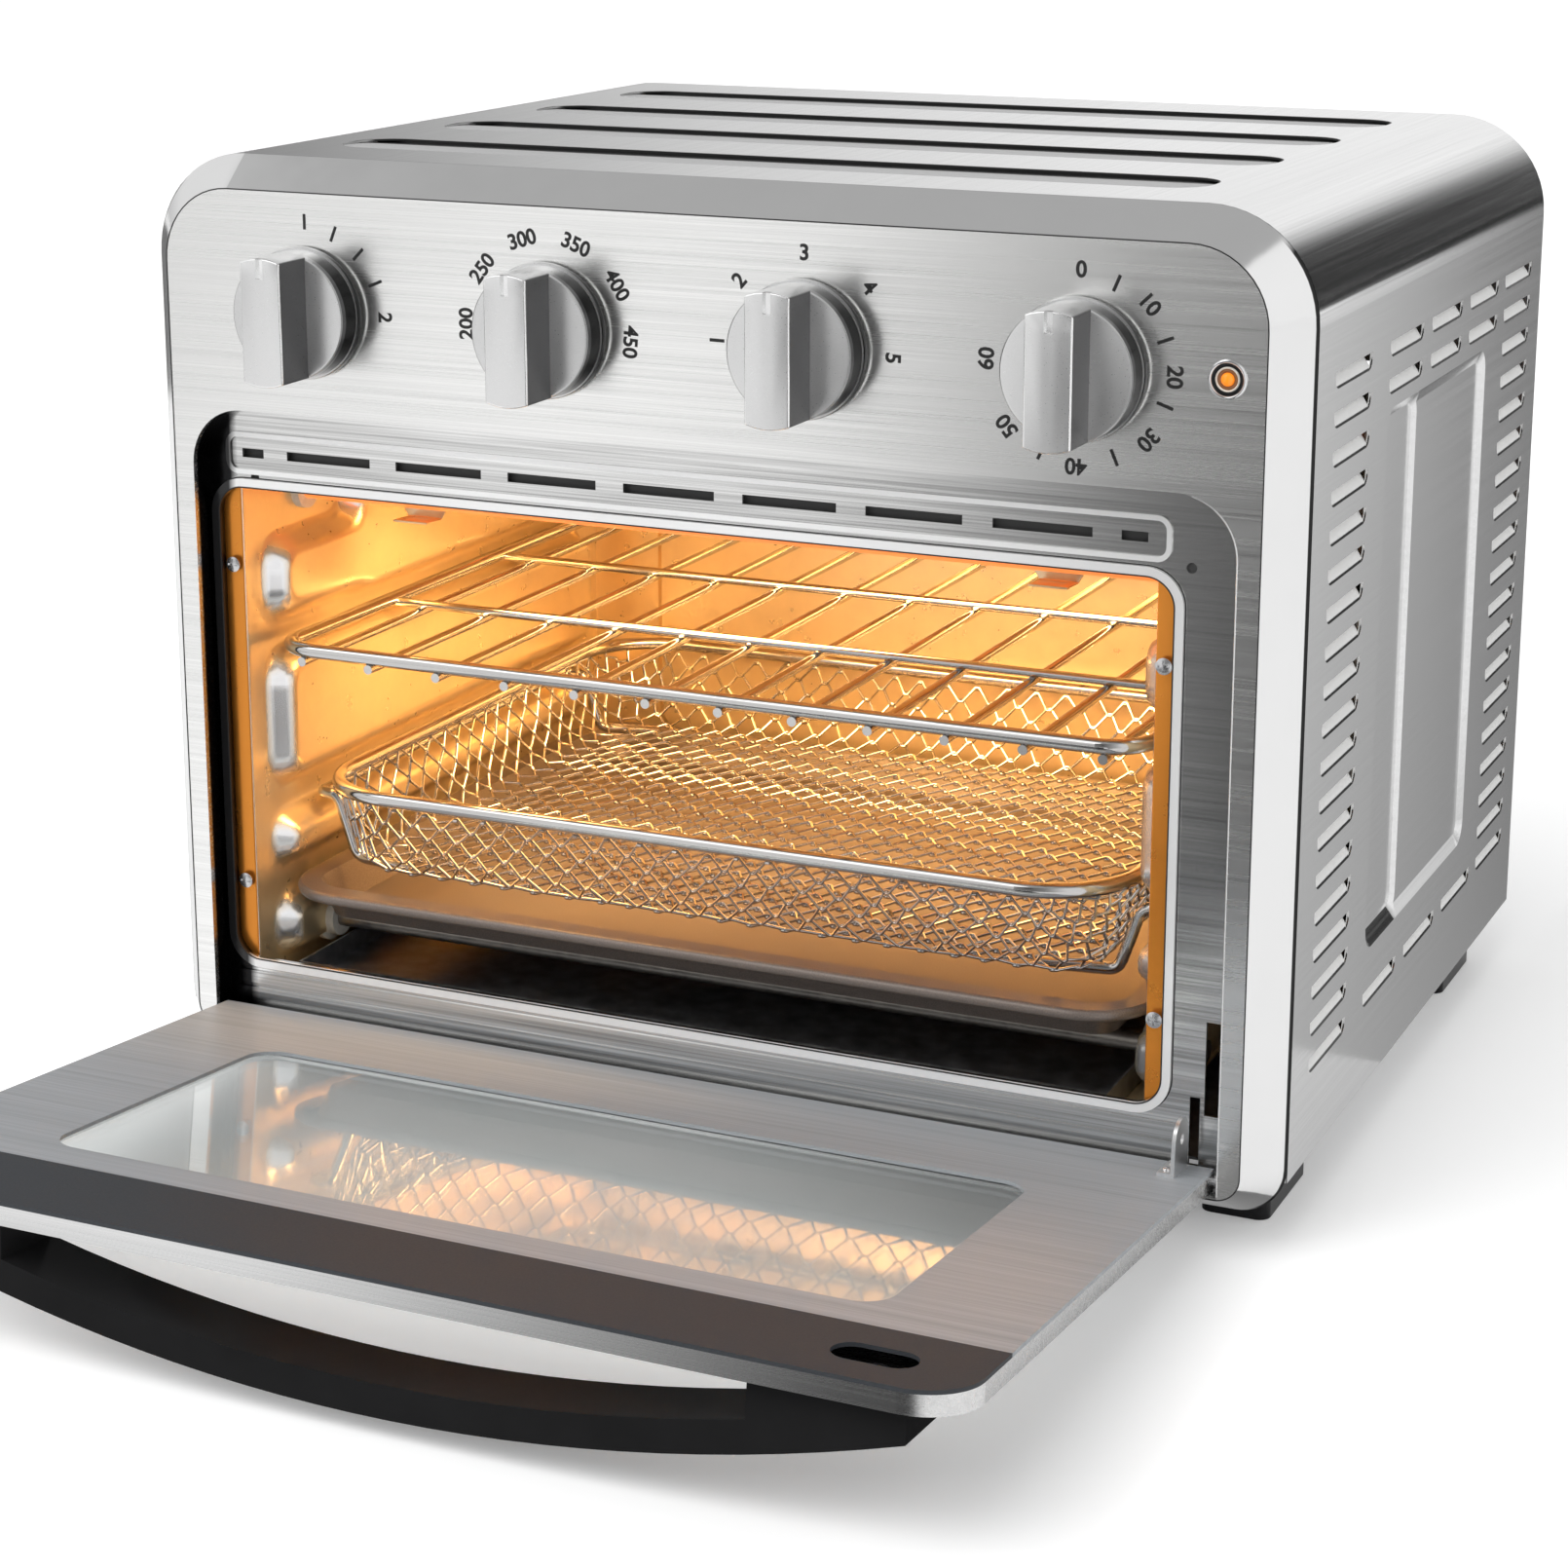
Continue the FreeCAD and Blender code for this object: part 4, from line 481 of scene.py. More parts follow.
def wires(name, lines, radius, finish, body="oven", replaced=(), closed=False, sides=2):
    """Round wires along centre lines, as one mesh."""
    curve = put(bpy.data.curves.new(name, "CURVE"), dimensions="3D", bevel_depth=radius * MM,
                bevel_resolution=sides, use_fill_caps=True)
    for line in lines:
        spline = curve.splines.new("POLY")
        spline.points.add(len(line) - 1)
        for point, place in zip(spline.points, line):
            point.co = (*place, 1.0)
        spline.use_cyclic_u = closed
    source = bpy.data.objects.new(name, curve)
    mesh = bpy.data.meshes.new_from_object(source)
    bpy.data.objects.remove(source)
    shape = bmesh.new()
    shape.from_mesh(mesh)
    bpy.data.meshes.remove(mesh)
    keep(name, shape, [finish], body, replaced, smooth=60.0)


def solid_boxes(node):
    """Lowest and highest corner of each separate solid in a node."""
    shape = bmesh.new()
    shape.from_mesh(NODES[node].data)
    ops.remove_doubles(shape, verts=shape.verts, dist=0.00001)
    boxes, left = [], set(shape.verts)
    for start in shape.verts:
        if start not in left:
            continue
        waiting, group = {start}, []
        while waiting:
            left -= waiting
            group += [vert.co for vert in waiting]
            waiting = {edge.other_vert(vert) for vert in waiting for edge in vert.link_edges} & left
        boxes.append([Vector([pick(co[i] for co in group) for i in range(3)]) for pick in (min, max)])
    shape.free()
    return boxes


def cross_screw(shape, seat, axis, radius, rise, shank_length):
    """Domed screw with a cross recess, its head's underside at the seat, in millimetres."""
    cells = 7
    outline = grid(shape, cells, cells, 1.0)
    arm = 5.0 / cells
    faces = {face for vert in outline for face in vert.link_faces}
    recess = []
    for face in faces:
        centre = face.calc_center_median()
        near, far = sorted((abs(centre.x), abs(centre.y)))
        if near < 1.0 / cells and far < arm:
            recess.append(face)
    rim = [edge for edge in {e for v in outline for e in v.link_edges} if len(edge.link_faces) == 1]
    for vert in outline:
        flat = Vector((vert.co.x, vert.co.y, 0.0))
        square = max(abs(flat.x), abs(flat.y))
        if flat.length > 0.0:
            blend = max(0.0, (square - 3.0 / cells) / (1.0 - 3.0 / cells))
            flat *= 1.0 + blend * (square / flat.length - 1.0)
        vert.co = flat * radius
        vert.co.z = rise * (1.0 - 0.65 * flat.length ** 2)
    skirt = verts_of(ops.extrude_edge_only(shape, edges=rim)["geom"])
    for vert in skirt:
        vert.co.z = 0.0
    floor = verts_of(ops.extrude_face_region(shape, geom=recess)["geom"])
    for vert in floor:
        vert.co = Vector((vert.co.x * 0.8, vert.co.y * 0.8, vert.co.z - rise * 0.7))
    ops.delete(shape, geom=recess, context="FACES")
    rod = ops.create_cone(shape, cap_ends=True, segments=16, radius1=radius / 2.0, radius2=radius / 2.0,
                          depth=shank_length, matrix=Matrix.Translation((0.0, 0.0, -shank_length / 2.0)))
    place = Matrix.Translation(seat) @ axis.to_track_quat("Z", "Y").to_matrix().to_4x4() @ Matrix.Scale(MM, 4)
    ops.transform(shape, matrix=place, verts=outline + skirt + floor + rod["verts"])


# Knobs and their dials

SKIRT_STEP = 2.4
DISC_FACE = 10.5
DISC_INSET = 0.9
BAR_FOOT = 1.0
BAR_EDGE = 0.5
BAR_HALF_WIDTH = 7.25
GROOVE_HALF_WIDTH = 1.3
GROOVE_LENGTH = 6.5
GROOVE_DEPTH = 1.2


def knob_piece(knob):
    """Turned disc with a grip bar across it and a groove for a pointer."""
    low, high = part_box(knob + "_knob")
    centre = middle_of(knob + "_knob", high.y)
    radius = (high.x - low.x) / 2.0 / MM
    inner = radius - DISC_INSET
    bar_front = (high.y - low.y) / MM
    shape = bmesh.new()
    profile = [(0.0, 0.0), (radius - 0.4, 0.0), (radius, 0.4), (radius, SKIRT_STEP - 0.4),
               (radius - 0.3, SKIRT_STEP), (radius - 0.8, SKIRT_STEP), (inner, SKIRT_STEP + 0.4),
               (inner, DISC_FACE - 1.0), (radius - 1.0, DISC_FACE - 0.5), (radius - 1.4, DISC_FACE - 0.1),
               (radius - 2.0, DISC_FACE), (0.0, DISC_FACE)]
    turned(shape, profile, centre)
    stand = (Matrix.Translation(centre + FORWARD * ((DISC_FACE - BAR_FOOT) * MM))
             @ Matrix.Rotation(radians(90.0), 4, "X"))
    bar = bmesh.new()
    ops.create_circle(bar, cap_ends=True, segments=96, radius=inner * MM)
    for side in (-1.0, 1.0):
        ops.bisect_plane(bar, geom=whole(bar), clear_outer=True, plane_no=(side, 0.0, 0.0),
                         plane_co=(side * BAR_HALF_WIDTH * MM, 0.0, 0.0))
    top = verts_of(ops.extrude_face_region(bar, geom=bar.faces[:])["geom"])
    ops.translate(bar, verts=top, vec=(0.0, 0.0, (bar_front - DISC_FACE + BAR_FOOT) * MM))
    ops.recalc_face_normals(bar, faces=bar.faces)
    bar.normal_update()
    corners = [edge for edge in bar.edges if len(edge.link_faces) == 2 and edge.calc_face_angle() > 0.6
               and max(vert.co.z for vert in edge.verts) > 0.001 * MM]
    ops.bevel(bar, geom=corners, offset=BAR_EDGE * MM, segments=3, affect="EDGES", profile=0.5, material=-1)
    height = max(vert.co.z for vert in bar.verts)
    for distance, normal in ((GROOVE_HALF_WIDTH, ACROSS), (-GROOVE_HALF_WIDTH, ACROSS),
                             (inner - GROOVE_LENGTH, -FORWARD)):
        ops.bisect_plane(bar, geom=whole(bar), plane_co=normal * (distance * MM), plane_no=normal)
    groove = []
    for face in bar.faces:
        middle = face.calc_center_median()
        if (middle.z > height - 0.6 * MM and abs(middle.x) < GROOVE_HALF_WIDTH * MM
                and middle.y > (inner - GROOVE_LENGTH) * MM):
            groove.append(face)
    bottom = verts_of(ops.extrude_face_region(bar, geom=groove)["geom"])
    ops.translate(bar, verts=bottom, vec=(0.0, 0.0, -GROOVE_DEPTH * MM))
    paint({face for vert in bottom for face in vert.link_faces})
    ops.delete(bar, geom=groove, context="FACES")
    ops.transform(bar, matrix=stand, verts=bar.verts)
    mesh = bpy.data.meshes.new("bar")
    bar.to_mesh(mesh)
    bar.free()
    shape.from_mesh(mesh)
    bpy.data.meshes.remove(mesh)
    shape.normal_update()
    # Painted highlight: bevels that half face forward take the brighter finish.
    paint(face for face in shape.faces if 0.2 < face.normal.dot(FORWARD) < 0.98)
    keep(knob + "_grip", shape, ["knob", "bright_and_painted_highlight"], knob + "_dial", [knob + "_knob"], smooth=30.0)


PRINT_LIFT = 0.06
PRINT_WEIGHT = 0.18
NUMBER_RADIUS = 28.6
TICK_RADIUS = 27.6
TICK_LENGTH = 5.2
TICK_WIDTH = 1.0
NUMBER_HEIGHT = 4.7
CAP_SHARE = 0.70

DIALS = {
    "speed": {"numbers": {0: "1", 90: "2"}, "ticks": [22.5, 45, 67.5]},
    "temperature": {"numbers": {-90: "200", -52: "250", -17: "300", 21: "350", 58: "400", 94: "450"}, "ticks": []},
    "function": {"numbers": {-89: "1", -48: "2", 0: "3", 47: "4", 92: "5"}, "ticks": []},
    "timer": {"numbers": {0: "0", 46: "10", 91: "20", 132: "30", 181: "40", 230: "50", 272: "60"},
              "ticks": [23, 69, 109, 156, 204]},
}


def dial_point(centre, angle, radius):
    """Point on the panel's face at an angle clockwise from the top of a dial."""
    turn = radians(angle)
    return centre + Vector((sin(turn), 0.0, cos(turn))) * (radius * MM)


def on_panel(place, angle):
    """Stand a flat mark up on the panel, turned clockwise."""
    return (Matrix.Translation(place) @ Matrix.Rotation(radians(angle), 4, "Y")
            @ Matrix.Rotation(radians(90.0), 4, "X"))


def print_number(shape, text, place, angle):
    """Number printed upright to the dial's centre."""
    letters = put(bpy.data.curves.new("number", "FONT"), body=text, size=NUMBER_HEIGHT / CAP_SHARE * MM,
                  align_x="CENTER", align_y="CENTER", offset=PRINT_WEIGHT * MM)
    source = bpy.data.objects.new("number", letters)
    flat = bpy.data.meshes.new_from_object(source)
    bpy.data.objects.remove(source)
    flat.transform(on_panel(place, angle))
    shape.from_mesh(flat)
    bpy.data.meshes.remove(flat)


def print_tick(shape, place, angle):
    """Short stroke that points at the dial's centre."""
    made = grid(shape, 1, 1)
    size = Matrix.Diagonal((TICK_WIDTH * MM, TICK_LENGTH * MM, 1.0, 1.0))
    ops.transform(shape, verts=made, matrix=on_panel(place, angle) @ size)


def dial_marks():
    """All printing round the knobs."""
    shape = bmesh.new()
    for knob, marks in DIALS.items():
        centre = middle_of(knob + "_knob") + FORWARD * (PRINT_LIFT * MM)
        for angle, text in marks["numbers"].items():
            print_number(shape, text, dial_point(centre, angle, NUMBER_RADIUS), angle)
        for angle in marks["ticks"]:
            print_tick(shape, dial_point(centre, angle, TICK_RADIUS), angle)
    keep("dial_marks", shape, ["ink_and_painted_shade"])


# Basket

STRAND_RADIUS = 0.55
CELL_WIDTH = 11.6
CELL_HEIGHT = 10.4
PEAK_FLAT = 0.06
HOOK = 0.7
HEEL_RADIUS = 9.0
BASKET_TAPER = 7.0
BASKET_CORNER = 30.0
FLOOR_CORNER = 4.0
# Uneven weave: each wave's size in millimetres and its waves a metre along and across
DRIFT = ((0.9, 61.0, 83.0), (0.5, 147.0, -201.0))
UNDER_REACH = 24.0
UNDER_SPREAD = 4.0
SIDE_BEND = 5.0


def basket_sheet():
    """Functions of the pressed mesh: from a flat sheet to the tub's shape."""
    low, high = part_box("basket_rim")
    wire = (high.z - low.z) / 2.0
    centre = Vector(((low.x + high.x) / 2.0, (low.y + high.y) / 2.0, 0.0))
    half = Vector(((high.x - low.x) / 2.0 - wire, (high.y - low.y) / 2.0 - wire, 0.0))
    corner = BASKET_CORNER * MM - wire
    top = (low.z + high.z) / 2.0
    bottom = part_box("basket_mesh")[0].z + STRAND_RADIUS * MM
    heel, taper = HEEL_RADIUS * MM, BASKET_TAPER * MM
    wall = hypot(taper, top - bottom - heel)
    sweep = heel * pi / 2.0
    reach = wall + sweep
    inset = taper + heel

    def profile(distance):
        """How far in from the rim and how high the sheet is at a distance from the floor's edge."""
        if distance <= sweep:
            turn = distance / heel
            return inset - heel * sin(turn), bottom + heel * (1.0 - cos(turn))
        up = (distance - sweep) / wall
        return taper * (1.0 - up), bottom + heel + (top - bottom - heel) * up

    def place(u, v, lift=0.0):
        """Point of the tub for a point of the flat sheet, or None above the rim."""
        floor_corner = max(corner - inset, FLOOR_CORNER * MM)
        core = Vector((half.x - inset - floor_corner, half.y - inset - floor_corner, 0.0))
        nearest = Vector((max(-core.x, min(core.x, u)), max(-core.y, min(core.y, v)), 0.0))
        away = Vector((u, v, 0.0)) - nearest
        if away.length <= floor_corner:
            return centre + Vector((u, v, bottom + lift))
        distance = away.length - floor_corner
        if distance > reach:
            return None
        drawn, height = profile(distance)
        outward = away.normalized()
        side = min(1.0, distance / sweep)
        aside = outward * (floor_corner + inset - drawn + lift * side)
        return centre + nearest + aside + Vector((0.0, 0.0, height + lift * (1.0 - side)))

    return place, half, reach


def basket_weave():
    """Zigzag strands side by side, hooked into one another at their peaks."""
    place, half, reach = basket_sheet()
    width, height = CELL_WIDTH * MM, CELL_HEIGHT * MM
    pitch = height / 2.0
    amplitude = pitch / 2.0 + STRAND_RADIUS * MM * 0.4
    rows = int((half.y + reach) / pitch)
    columns = int((half.x + reach) / width) + 1
    lines = []
    for row in range(-rows, rows + 1):
        sign = 1.0 if row % 2 else -1.0
        lines.append([])
        for column in range(-columns, columns + 1):
            for share, level in ((-PEAK_FLAT, 1.0), (PEAK_FLAT, 1.0), (0.5 - PEAK_FLAT, -1.0),
                                 (0.5 + PEAK_FLAT, -1.0)):
                u = (column + share) * width
                v = row * pitch + sign * level * amplitude
                drift = sum(size * MM * sin(u * along + v * over) for size, along, over in DRIFT)
                point = place(u + drift, v + drift * 0.6, sign * level * HOOK * STRAND_RADIUS * MM)
                if point is None:
                    lines.append([])
                else:
                    lines[-1].append(point)
    lines = [line for line in lines if len(line) > 1]
    wires("basket_weave", lines, STRAND_RADIUS, "wire", "basket", ["basket_mesh"], sides=1)


def basket_side_wires():
    """Wire on each side: up the corner from under the floor, out to the track, back and down again."""
    low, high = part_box("basket_carriers")
    floor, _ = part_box("basket_mesh")
    rim_low, rim_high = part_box("basket_rim")
    radius = (high.z - low.z) / 2.0
    level = (low.z + high.z) / 2.0
    middle = (low.x + high.x) / 2.0
    half = (rim_high.x - rim_low.x) / 2.0
    lines = []
    for side in (-1.0, 1.0):
        rail = (high.x - middle - radius) * side + middle
        wall_top = (half + radius * 0.2) * side + middle
        wall_foot = (half - BASKET_TAPER * MM) * side + middle
        inner = wall_foot - side * UNDER_REACH * MM
        under = floor.z + radius * 0.2
        front, back = ([Vector((inner, y + away * UNDER_SPREAD * MM, under)), Vector((wall_foot, y, under)),
                        Vector((wall_top, y, level)), Vector((rail, y, level))]
                       for y, away in ((low.y + radius, -1.0), (high.y - radius, 1.0)))
        lines.append(rounded(front + back[::-1], SIDE_BEND * MM))
    wires("basket_side_wires", lines, radius / MM, "wire", "basket", ["basket_carriers"], sides=3)


# Cavity side walls

BULGE_DEPTH = 8.0
BULGE_SLOPE = 7.0
BULGE_CORNER = 12.0
BULGE_FRONT = 20.5
BULGE_BACK = 250.0
STEP_START = 70.0
STEP_HEIGHT = 187.0
STEP_TOP = 240.0
BAND_CORNER_SHARE = 0.42
BLEND_REACH = 8.0
BLEND_DEPTH = 2.0
WALL_SHEET = 1.0
WALL_GRID = 1.9
FLANGE_BEND = 0.8
BULGE_BANDS = [(36.0, 61.7), (70.2, 89.7), (98.2, 147.2), (155.7, STEP_HEIGHT)]


def outline_distance(y, z, y0, y1, z0, z1, corner):
    """Distance outside a rounded rectangle, negative within it."""
    qy = abs(y - (y0 + y1) / 2.0) - (y1 - y0) / 2.0 + corner
    qz = abs(z - (z0 + z1) / 2.0) - (z1 - z0) / 2.0 + corner
    return hypot(max(qy, 0.0), max(qz, 0.0)) + min(max(qy, qz), 0.0) - corner


def pressed_height(y, z):
    """How far the wall is pressed in at a place, with soft edges."""
    outside = 100.0
    for z0, z1 in BULGE_BANDS:
        corner = min(BULGE_CORNER, (z1 - z0) * BAND_CORNER_SHARE)
        outside = min(outside, outline_distance(y, z, BULGE_FRONT, BULGE_BACK, z0, z1, corner))
    step = outline_distance(y, z, STEP_START, BULGE_BACK, BULGE_BANDS[-1][0], STEP_TOP, BULGE_CORNER)
    blend = max(0.0, BLEND_REACH - abs(outside - step)) / BLEND_REACH
    outside = min(outside, step) - blend * blend * BLEND_DEPTH
    share = max(0.0, min(1.0, -outside / BULGE_SLOPE))
    return BULGE_DEPTH * share * share * (3.0 - 2.0 * share)


def cavity_wall(side):
    """Pressed side wall with its front flange, in place of the plain one."""
    node = "cavity_left_wall" if side < 0 else "cavity_right_wall"
    low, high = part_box(node)
    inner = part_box("cavity_back_wall")[0 if side < 0 else 1].x
    flange_end = low.x if side < 0 else high.x
    sheet = WALL_SHEET * MM
    depth, height = high.y - low.y - sheet, high.z - low.z
    shape = bmesh.new()
    columns, rows = int(depth / MM / WALL_GRID), int(height / MM / WALL_GRID)
    for vert in grid(shape, columns, rows):
        y = low.y + sheet + (vert.co.x + 0.5) * depth
        z = low.z + (vert.co.y + 0.5) * height
        pressed = pressed_height((y - FACE) / MM, z / MM) * MM
        vert.co = Vector((inner - side * pressed, y, z))
    front = [edge for edge in shape.edges if all(vert.co.y < low.y + sheet + 1e-6 for vert in edge.verts)]
    folded(shape, front, (flange_end - inner, -sheet * 0.2, 0.0))
    ops.bevel(shape, geom=front, offset=FLANGE_BEND * MM, segments=4, affect="EDGES", profile=0.5,
              material=-1)
    shape.normal_update()
    # The flange's front faces take the orange of the painted warm reflection.
    paint(face for face in shape.faces
          if abs(face.normal.y) > 0.8 and face.calc_center_median().y < low.y + 2.0 * sheet)
    keep(node + "_pressing", shape, ["pressed", "flange"], replaced=[node], smooth=70.0)


# Element supports under the ceiling

SUPPORT_PLACES = (-122.0, 105.0)
SUPPORT_WIDTH = 20.0
SUPPORT_DROP = 19.5
SUPPORT_SETBACK = 5.0
SUPPORT_FOOT = 9.0
SUPPORT_HOOK = 10.0
ELEMENT_RADIUS = 3.5


def element_supports():
    """Bent tabs that hold the front element up to the ceiling."""
    shape = bmesh.new()
    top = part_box("cavity_ceiling")[0].z / MM
    tab_y = (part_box("upper_heaters")[0].y - FACE) / MM + ELEMENT_RADIUS + SUPPORT_SETBACK
    for x in SUPPORT_PLACES:
        tab = grid(shape, 4, 6)
        for vert in tab:
            across, down = vert.co.x, 0.5 - vert.co.y
            narrow = 1.0 - 0.35 * max(0.0, down - 0.7) / 0.3
            vert.co = at(x + across * SUPPORT_WIDTH * narrow, tab_y, top - down * SUPPORT_DROP)
        seat = [edge for edge in shape.edges if all(v in tab and v.co.z > (top - 0.1) * MM for v in edge.verts)]
        folded(shape, seat, (0.0, SUPPORT_FOOT * MM, -0.3 * MM))
        hook = [edge for edge in shape.edges if all(v in tab and v.co.z < (top - SUPPORT_DROP + 0.1) * MM
                                                    for v in edge.verts)]
        folded(shape, hook, (0.0, -SUPPORT_HOOK * MM, 0.6 * MM))
    thicken(keep("element_supports", shape, ["cavity"], smooth=30.0), 0.8, 0.25)


# Lamp: profiles in shares of the bezel's radius and in millimetres in front of the panel

LAMP_PARTS = (
    ("lamp_bezel", "chrome", ["lamp_ring"], [(0.80, -1.0), (1.0, -1.0), (1.0, 0.5), (0.96, 0.95), (0.90, 1.05),
                                             (0.84, 0.85), (0.80, 0.3), (0.80, -1.0)]),
    ("lamp_collar", "gloss", [], [(0.62, -1.0), (0.80, -1.0), (0.80, 0.1), (0.72, 0.35), (0.64, 0.2), (0.62, -1.0)]),
    ("lamp_seat", "ceramic", [], [(0.52, -1.0), (0.63, -1.0), (0.63, 0.3), (0.58, 0.7), (0.53, 0.4), (0.52, -1.0)]),
    ("lamp_well", "lamp_brown", [], [(0.32, -1.0), (0.53, -1.0), (0.53, 0.1), (0.44, 0.4), (0.35, 0.2),
                                     (0.32, -1.0)]),
    ("lamp_dome", "amber", ["lamp_lens"], [(0.0, -1.0), (0.34, -1.0), (0.34, 0.4), (0.29, 0.9), (0.20, 1.3),
                                           (0.1, 1.5), (0.0, 1.5)]),
)


def panel_lamp():
    """Signal lamp: chrome bezel, dark collar, pale seat and an amber dome."""
    low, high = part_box("lamp_ring")
    rim = (high.x - low.x) / 2.0 / MM
    for name, finish, replaced, profile in LAMP_PARTS:
        shape = bmesh.new()
        turned(shape, [(rim * share, along) for share, along in profile], middle_of("lamp_ring"), steps=48)
        keep(name, shape, [finish], replaced=replaced, smooth=50.0)


# Lines, lips and slots round the front and on the top

SEAM_RADIUS = 0.22
LINE_RADIUS = 0.24
LINE_GAP = 0.1
LIP_RADIUS = 0.26
LIP_DEPTH = 0.12
LIP_LEVELS = (19.5, 120.0)
LIP_TURN = 75.0
PANEL_CORNER = 24.0
PANEL_FOOT_CORNER = 8.0
MOUTH = (-174.0, 157.0, 42.0, 206.5)
MOUTH_CORNER = 9.0
BEAD_FRONT = 8.0
BEAD_FOOT = 9.5
BEAD_WIDTH = 3.0
OPENING_SIDE = 178.0
OPENING_TOP = 234.0
OPENING_CORNER = 19.0


def front_outline(left, right, bottom, top, corner, foot_corner, y):
    """Closed rounded rectangle in a plane that faces the front, in the design's millimetres."""
    line = []
    for x, z, radius, start in ((right, top, corner, 0), (left, top, corner, 90),
                                (left, bottom, foot_corner, 180), (right, bottom, foot_corner, 270)):
        middle_x = x - copysign(radius, x - (left + right) / 2.0)
        middle_z = z - copysign(radius, z - (bottom + top) / 2.0)
        for i in range(ARC_STEPS + 1):
            turn = radians(start + 90.0 * i / ARC_STEPS)
            line.append(at(middle_x + cos(turn) * radius, y, middle_z + sin(turn) * radius))
    return line


def panel_seam():
    """Dark joint line round the control panel."""
    low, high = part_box("control_panel")
    line = front_outline(low.x / MM, high.x / MM, low.z / MM, high.z / MM, PANEL_CORNER, PANEL_FOOT_CORNER, 0.0)
    wires("panel_seam", [line], SEAM_RADIUS, "ink_and_painted_shade", closed=True)


def bead_painted_shade_lines():
    """Painted shade: dark lines on both edges of the raised bead round the mouth."""
    left, right, bottom, top = MOUTH
    lines = []
    for grow, y in ((LINE_GAP, BEAD_FRONT), (BEAD_WIDTH + LINE_GAP, BEAD_FOOT)):
        lines.append(front_outline(left - grow, right + grow, bottom - grow, top + grow, MOUTH_CORNER + grow,
                                   MOUTH_CORNER + grow, y))
    wires("bead_painted_shade_lines", lines, LINE_RADIUS, "ink_and_painted_shade", closed=True)


def opening_painted_highlight():
    """Painted highlight: bright line along the cut edge down the right side of the panel's opening."""
    line = [at(OPENING_SIDE, LIP_DEPTH, level) for level in LIP_LEVELS]
    for i in range(ARC_STEPS + 1):
        turn = radians(LIP_TURN * i / ARC_STEPS)
        line.append(at(OPENING_SIDE - OPENING_CORNER + cos(turn) * OPENING_CORNER, LIP_DEPTH,
                       OPENING_TOP - OPENING_CORNER + sin(turn) * OPENING_CORNER))
    wires("opening_painted_highlight", [line], LIP_RADIUS, "bright_and_painted_highlight")


HOLE_PLACES = (-160.5, 161.6)
HOLE_LEVEL = 210.0
HOLE_RADIUS = 1.6


def frame_hole_painted_shade_cups():
    """Painted shade: dark cups in the two round holes beside the frame's air band."""
    shape = bmesh.new()
    profile = [(0.0, -1.1), (HOLE_RADIUS + 0.1, -1.1), (HOLE_RADIUS + 0.1, -0.15), (HOLE_RADIUS - 0.25, -0.4),
               (HOLE_RADIUS - 0.45, -0.8), (0.0, -0.85)]
    for x in HOLE_PLACES:
        turned(shape, profile, at(x, BEAD_FOOT, HOLE_LEVEL), steps=24)
    keep("frame_hole_painted_shade_cups", shape, ["painted_slot_shade"], smooth=40.0)


SLOT_COUNT = 4
SLOT_FIRST = 44.0
SLOT_PITCH = 67.0
SLOT_WIDTH = 31.6
SLOT_HALF_LENGTH = 150.0
BLADE_SINK = 0.3
BLADE_FALL = 1.4
BLADE_LIP = 1.1


def slot_blades():
    """Shallow sloping blade in each top slot, with painted shade in black along its rear edge and on its rear lip.
    """
    shape = bmesh.new()
    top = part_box("outer_wrap")[1].z / MM
    for i in range(SLOT_COUNT):
        for vert in grid(shape, 12, 4):
            back = vert.co.y + 0.5
            vert.co = at(vert.co.x * 2.0 * SLOT_HALF_LENGTH, SLOT_FIRST + i * SLOT_PITCH + back * SLOT_WIDTH,
                         top - BLADE_SINK - BLADE_FALL * back)
    # Painted shade: the rear rows and the raised lip take the black finish.
    rear_row = (top - BLADE_SINK - BLADE_FALL * 0.72) * MM
    paint(face for face in shape.faces if all(vert.co.z < rear_row for vert in face.verts))
    rear_edge = (top - BLADE_SINK - BLADE_FALL * 0.97) * MM
    rear = [edge for edge in shape.edges if all(vert.co.z < rear_edge for vert in edge.verts)]
    raised = folded(shape, rear, (0.0, 0.0, BLADE_LIP * MM))
    paint({face for vert in raised for face in vert.link_faces})
    thicken(keep("top_slot_blades", shape, ["slot_blade", "ink_and_painted_shade"], smooth=30.0), 0.4, 0.15, offset=0.0)


BAFFLE_WIDTH = 336.0
BAFFLE_HEIGHT = 17.0
BAFFLE_MIDDLE = (-8.5, 7.5)
BAFFLE_GAP = 1.2
BAFFLE_FOLD = 4.0


def painted_shade_baffle():
    """Painted shade: dark folded strip behind the frame's air slots and round holes."""
    shape = bmesh.new()
    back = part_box("front_frame")[1].y
    x, rise = BAFFLE_MIDDLE
    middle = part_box("cavity_ceiling")[0].z + rise * MM
    for vert in grid(shape, 2, 2):
        vert.co = Vector(((x + vert.co.x * BAFFLE_WIDTH) * MM, back + BAFFLE_GAP * MM,
                          middle + vert.co.y * BAFFLE_HEIGHT * MM))
    edge_level = middle + BAFFLE_HEIGHT * 0.49 * MM
    upper = [edge for edge in shape.edges if all(vert.co.z > edge_level for vert in edge.verts)]
    folded(shape, upper, (0.0, BAFFLE_FOLD * MM, 0.0))
    thicken(keep("painted_shade_baffle", shape, ["painted_slot_shade"], smooth=30.0), 0.5, 0.15)


# Fasteners

RIVET_RADIUS = 1.35
RIVET_SETBACK = 3.3
RIVET_SHARES = (0.25, 0.72)
DOOR_SLOPE = 5.5
EAR_FOOT = 1.1
HEAD_SHARE = 0.62


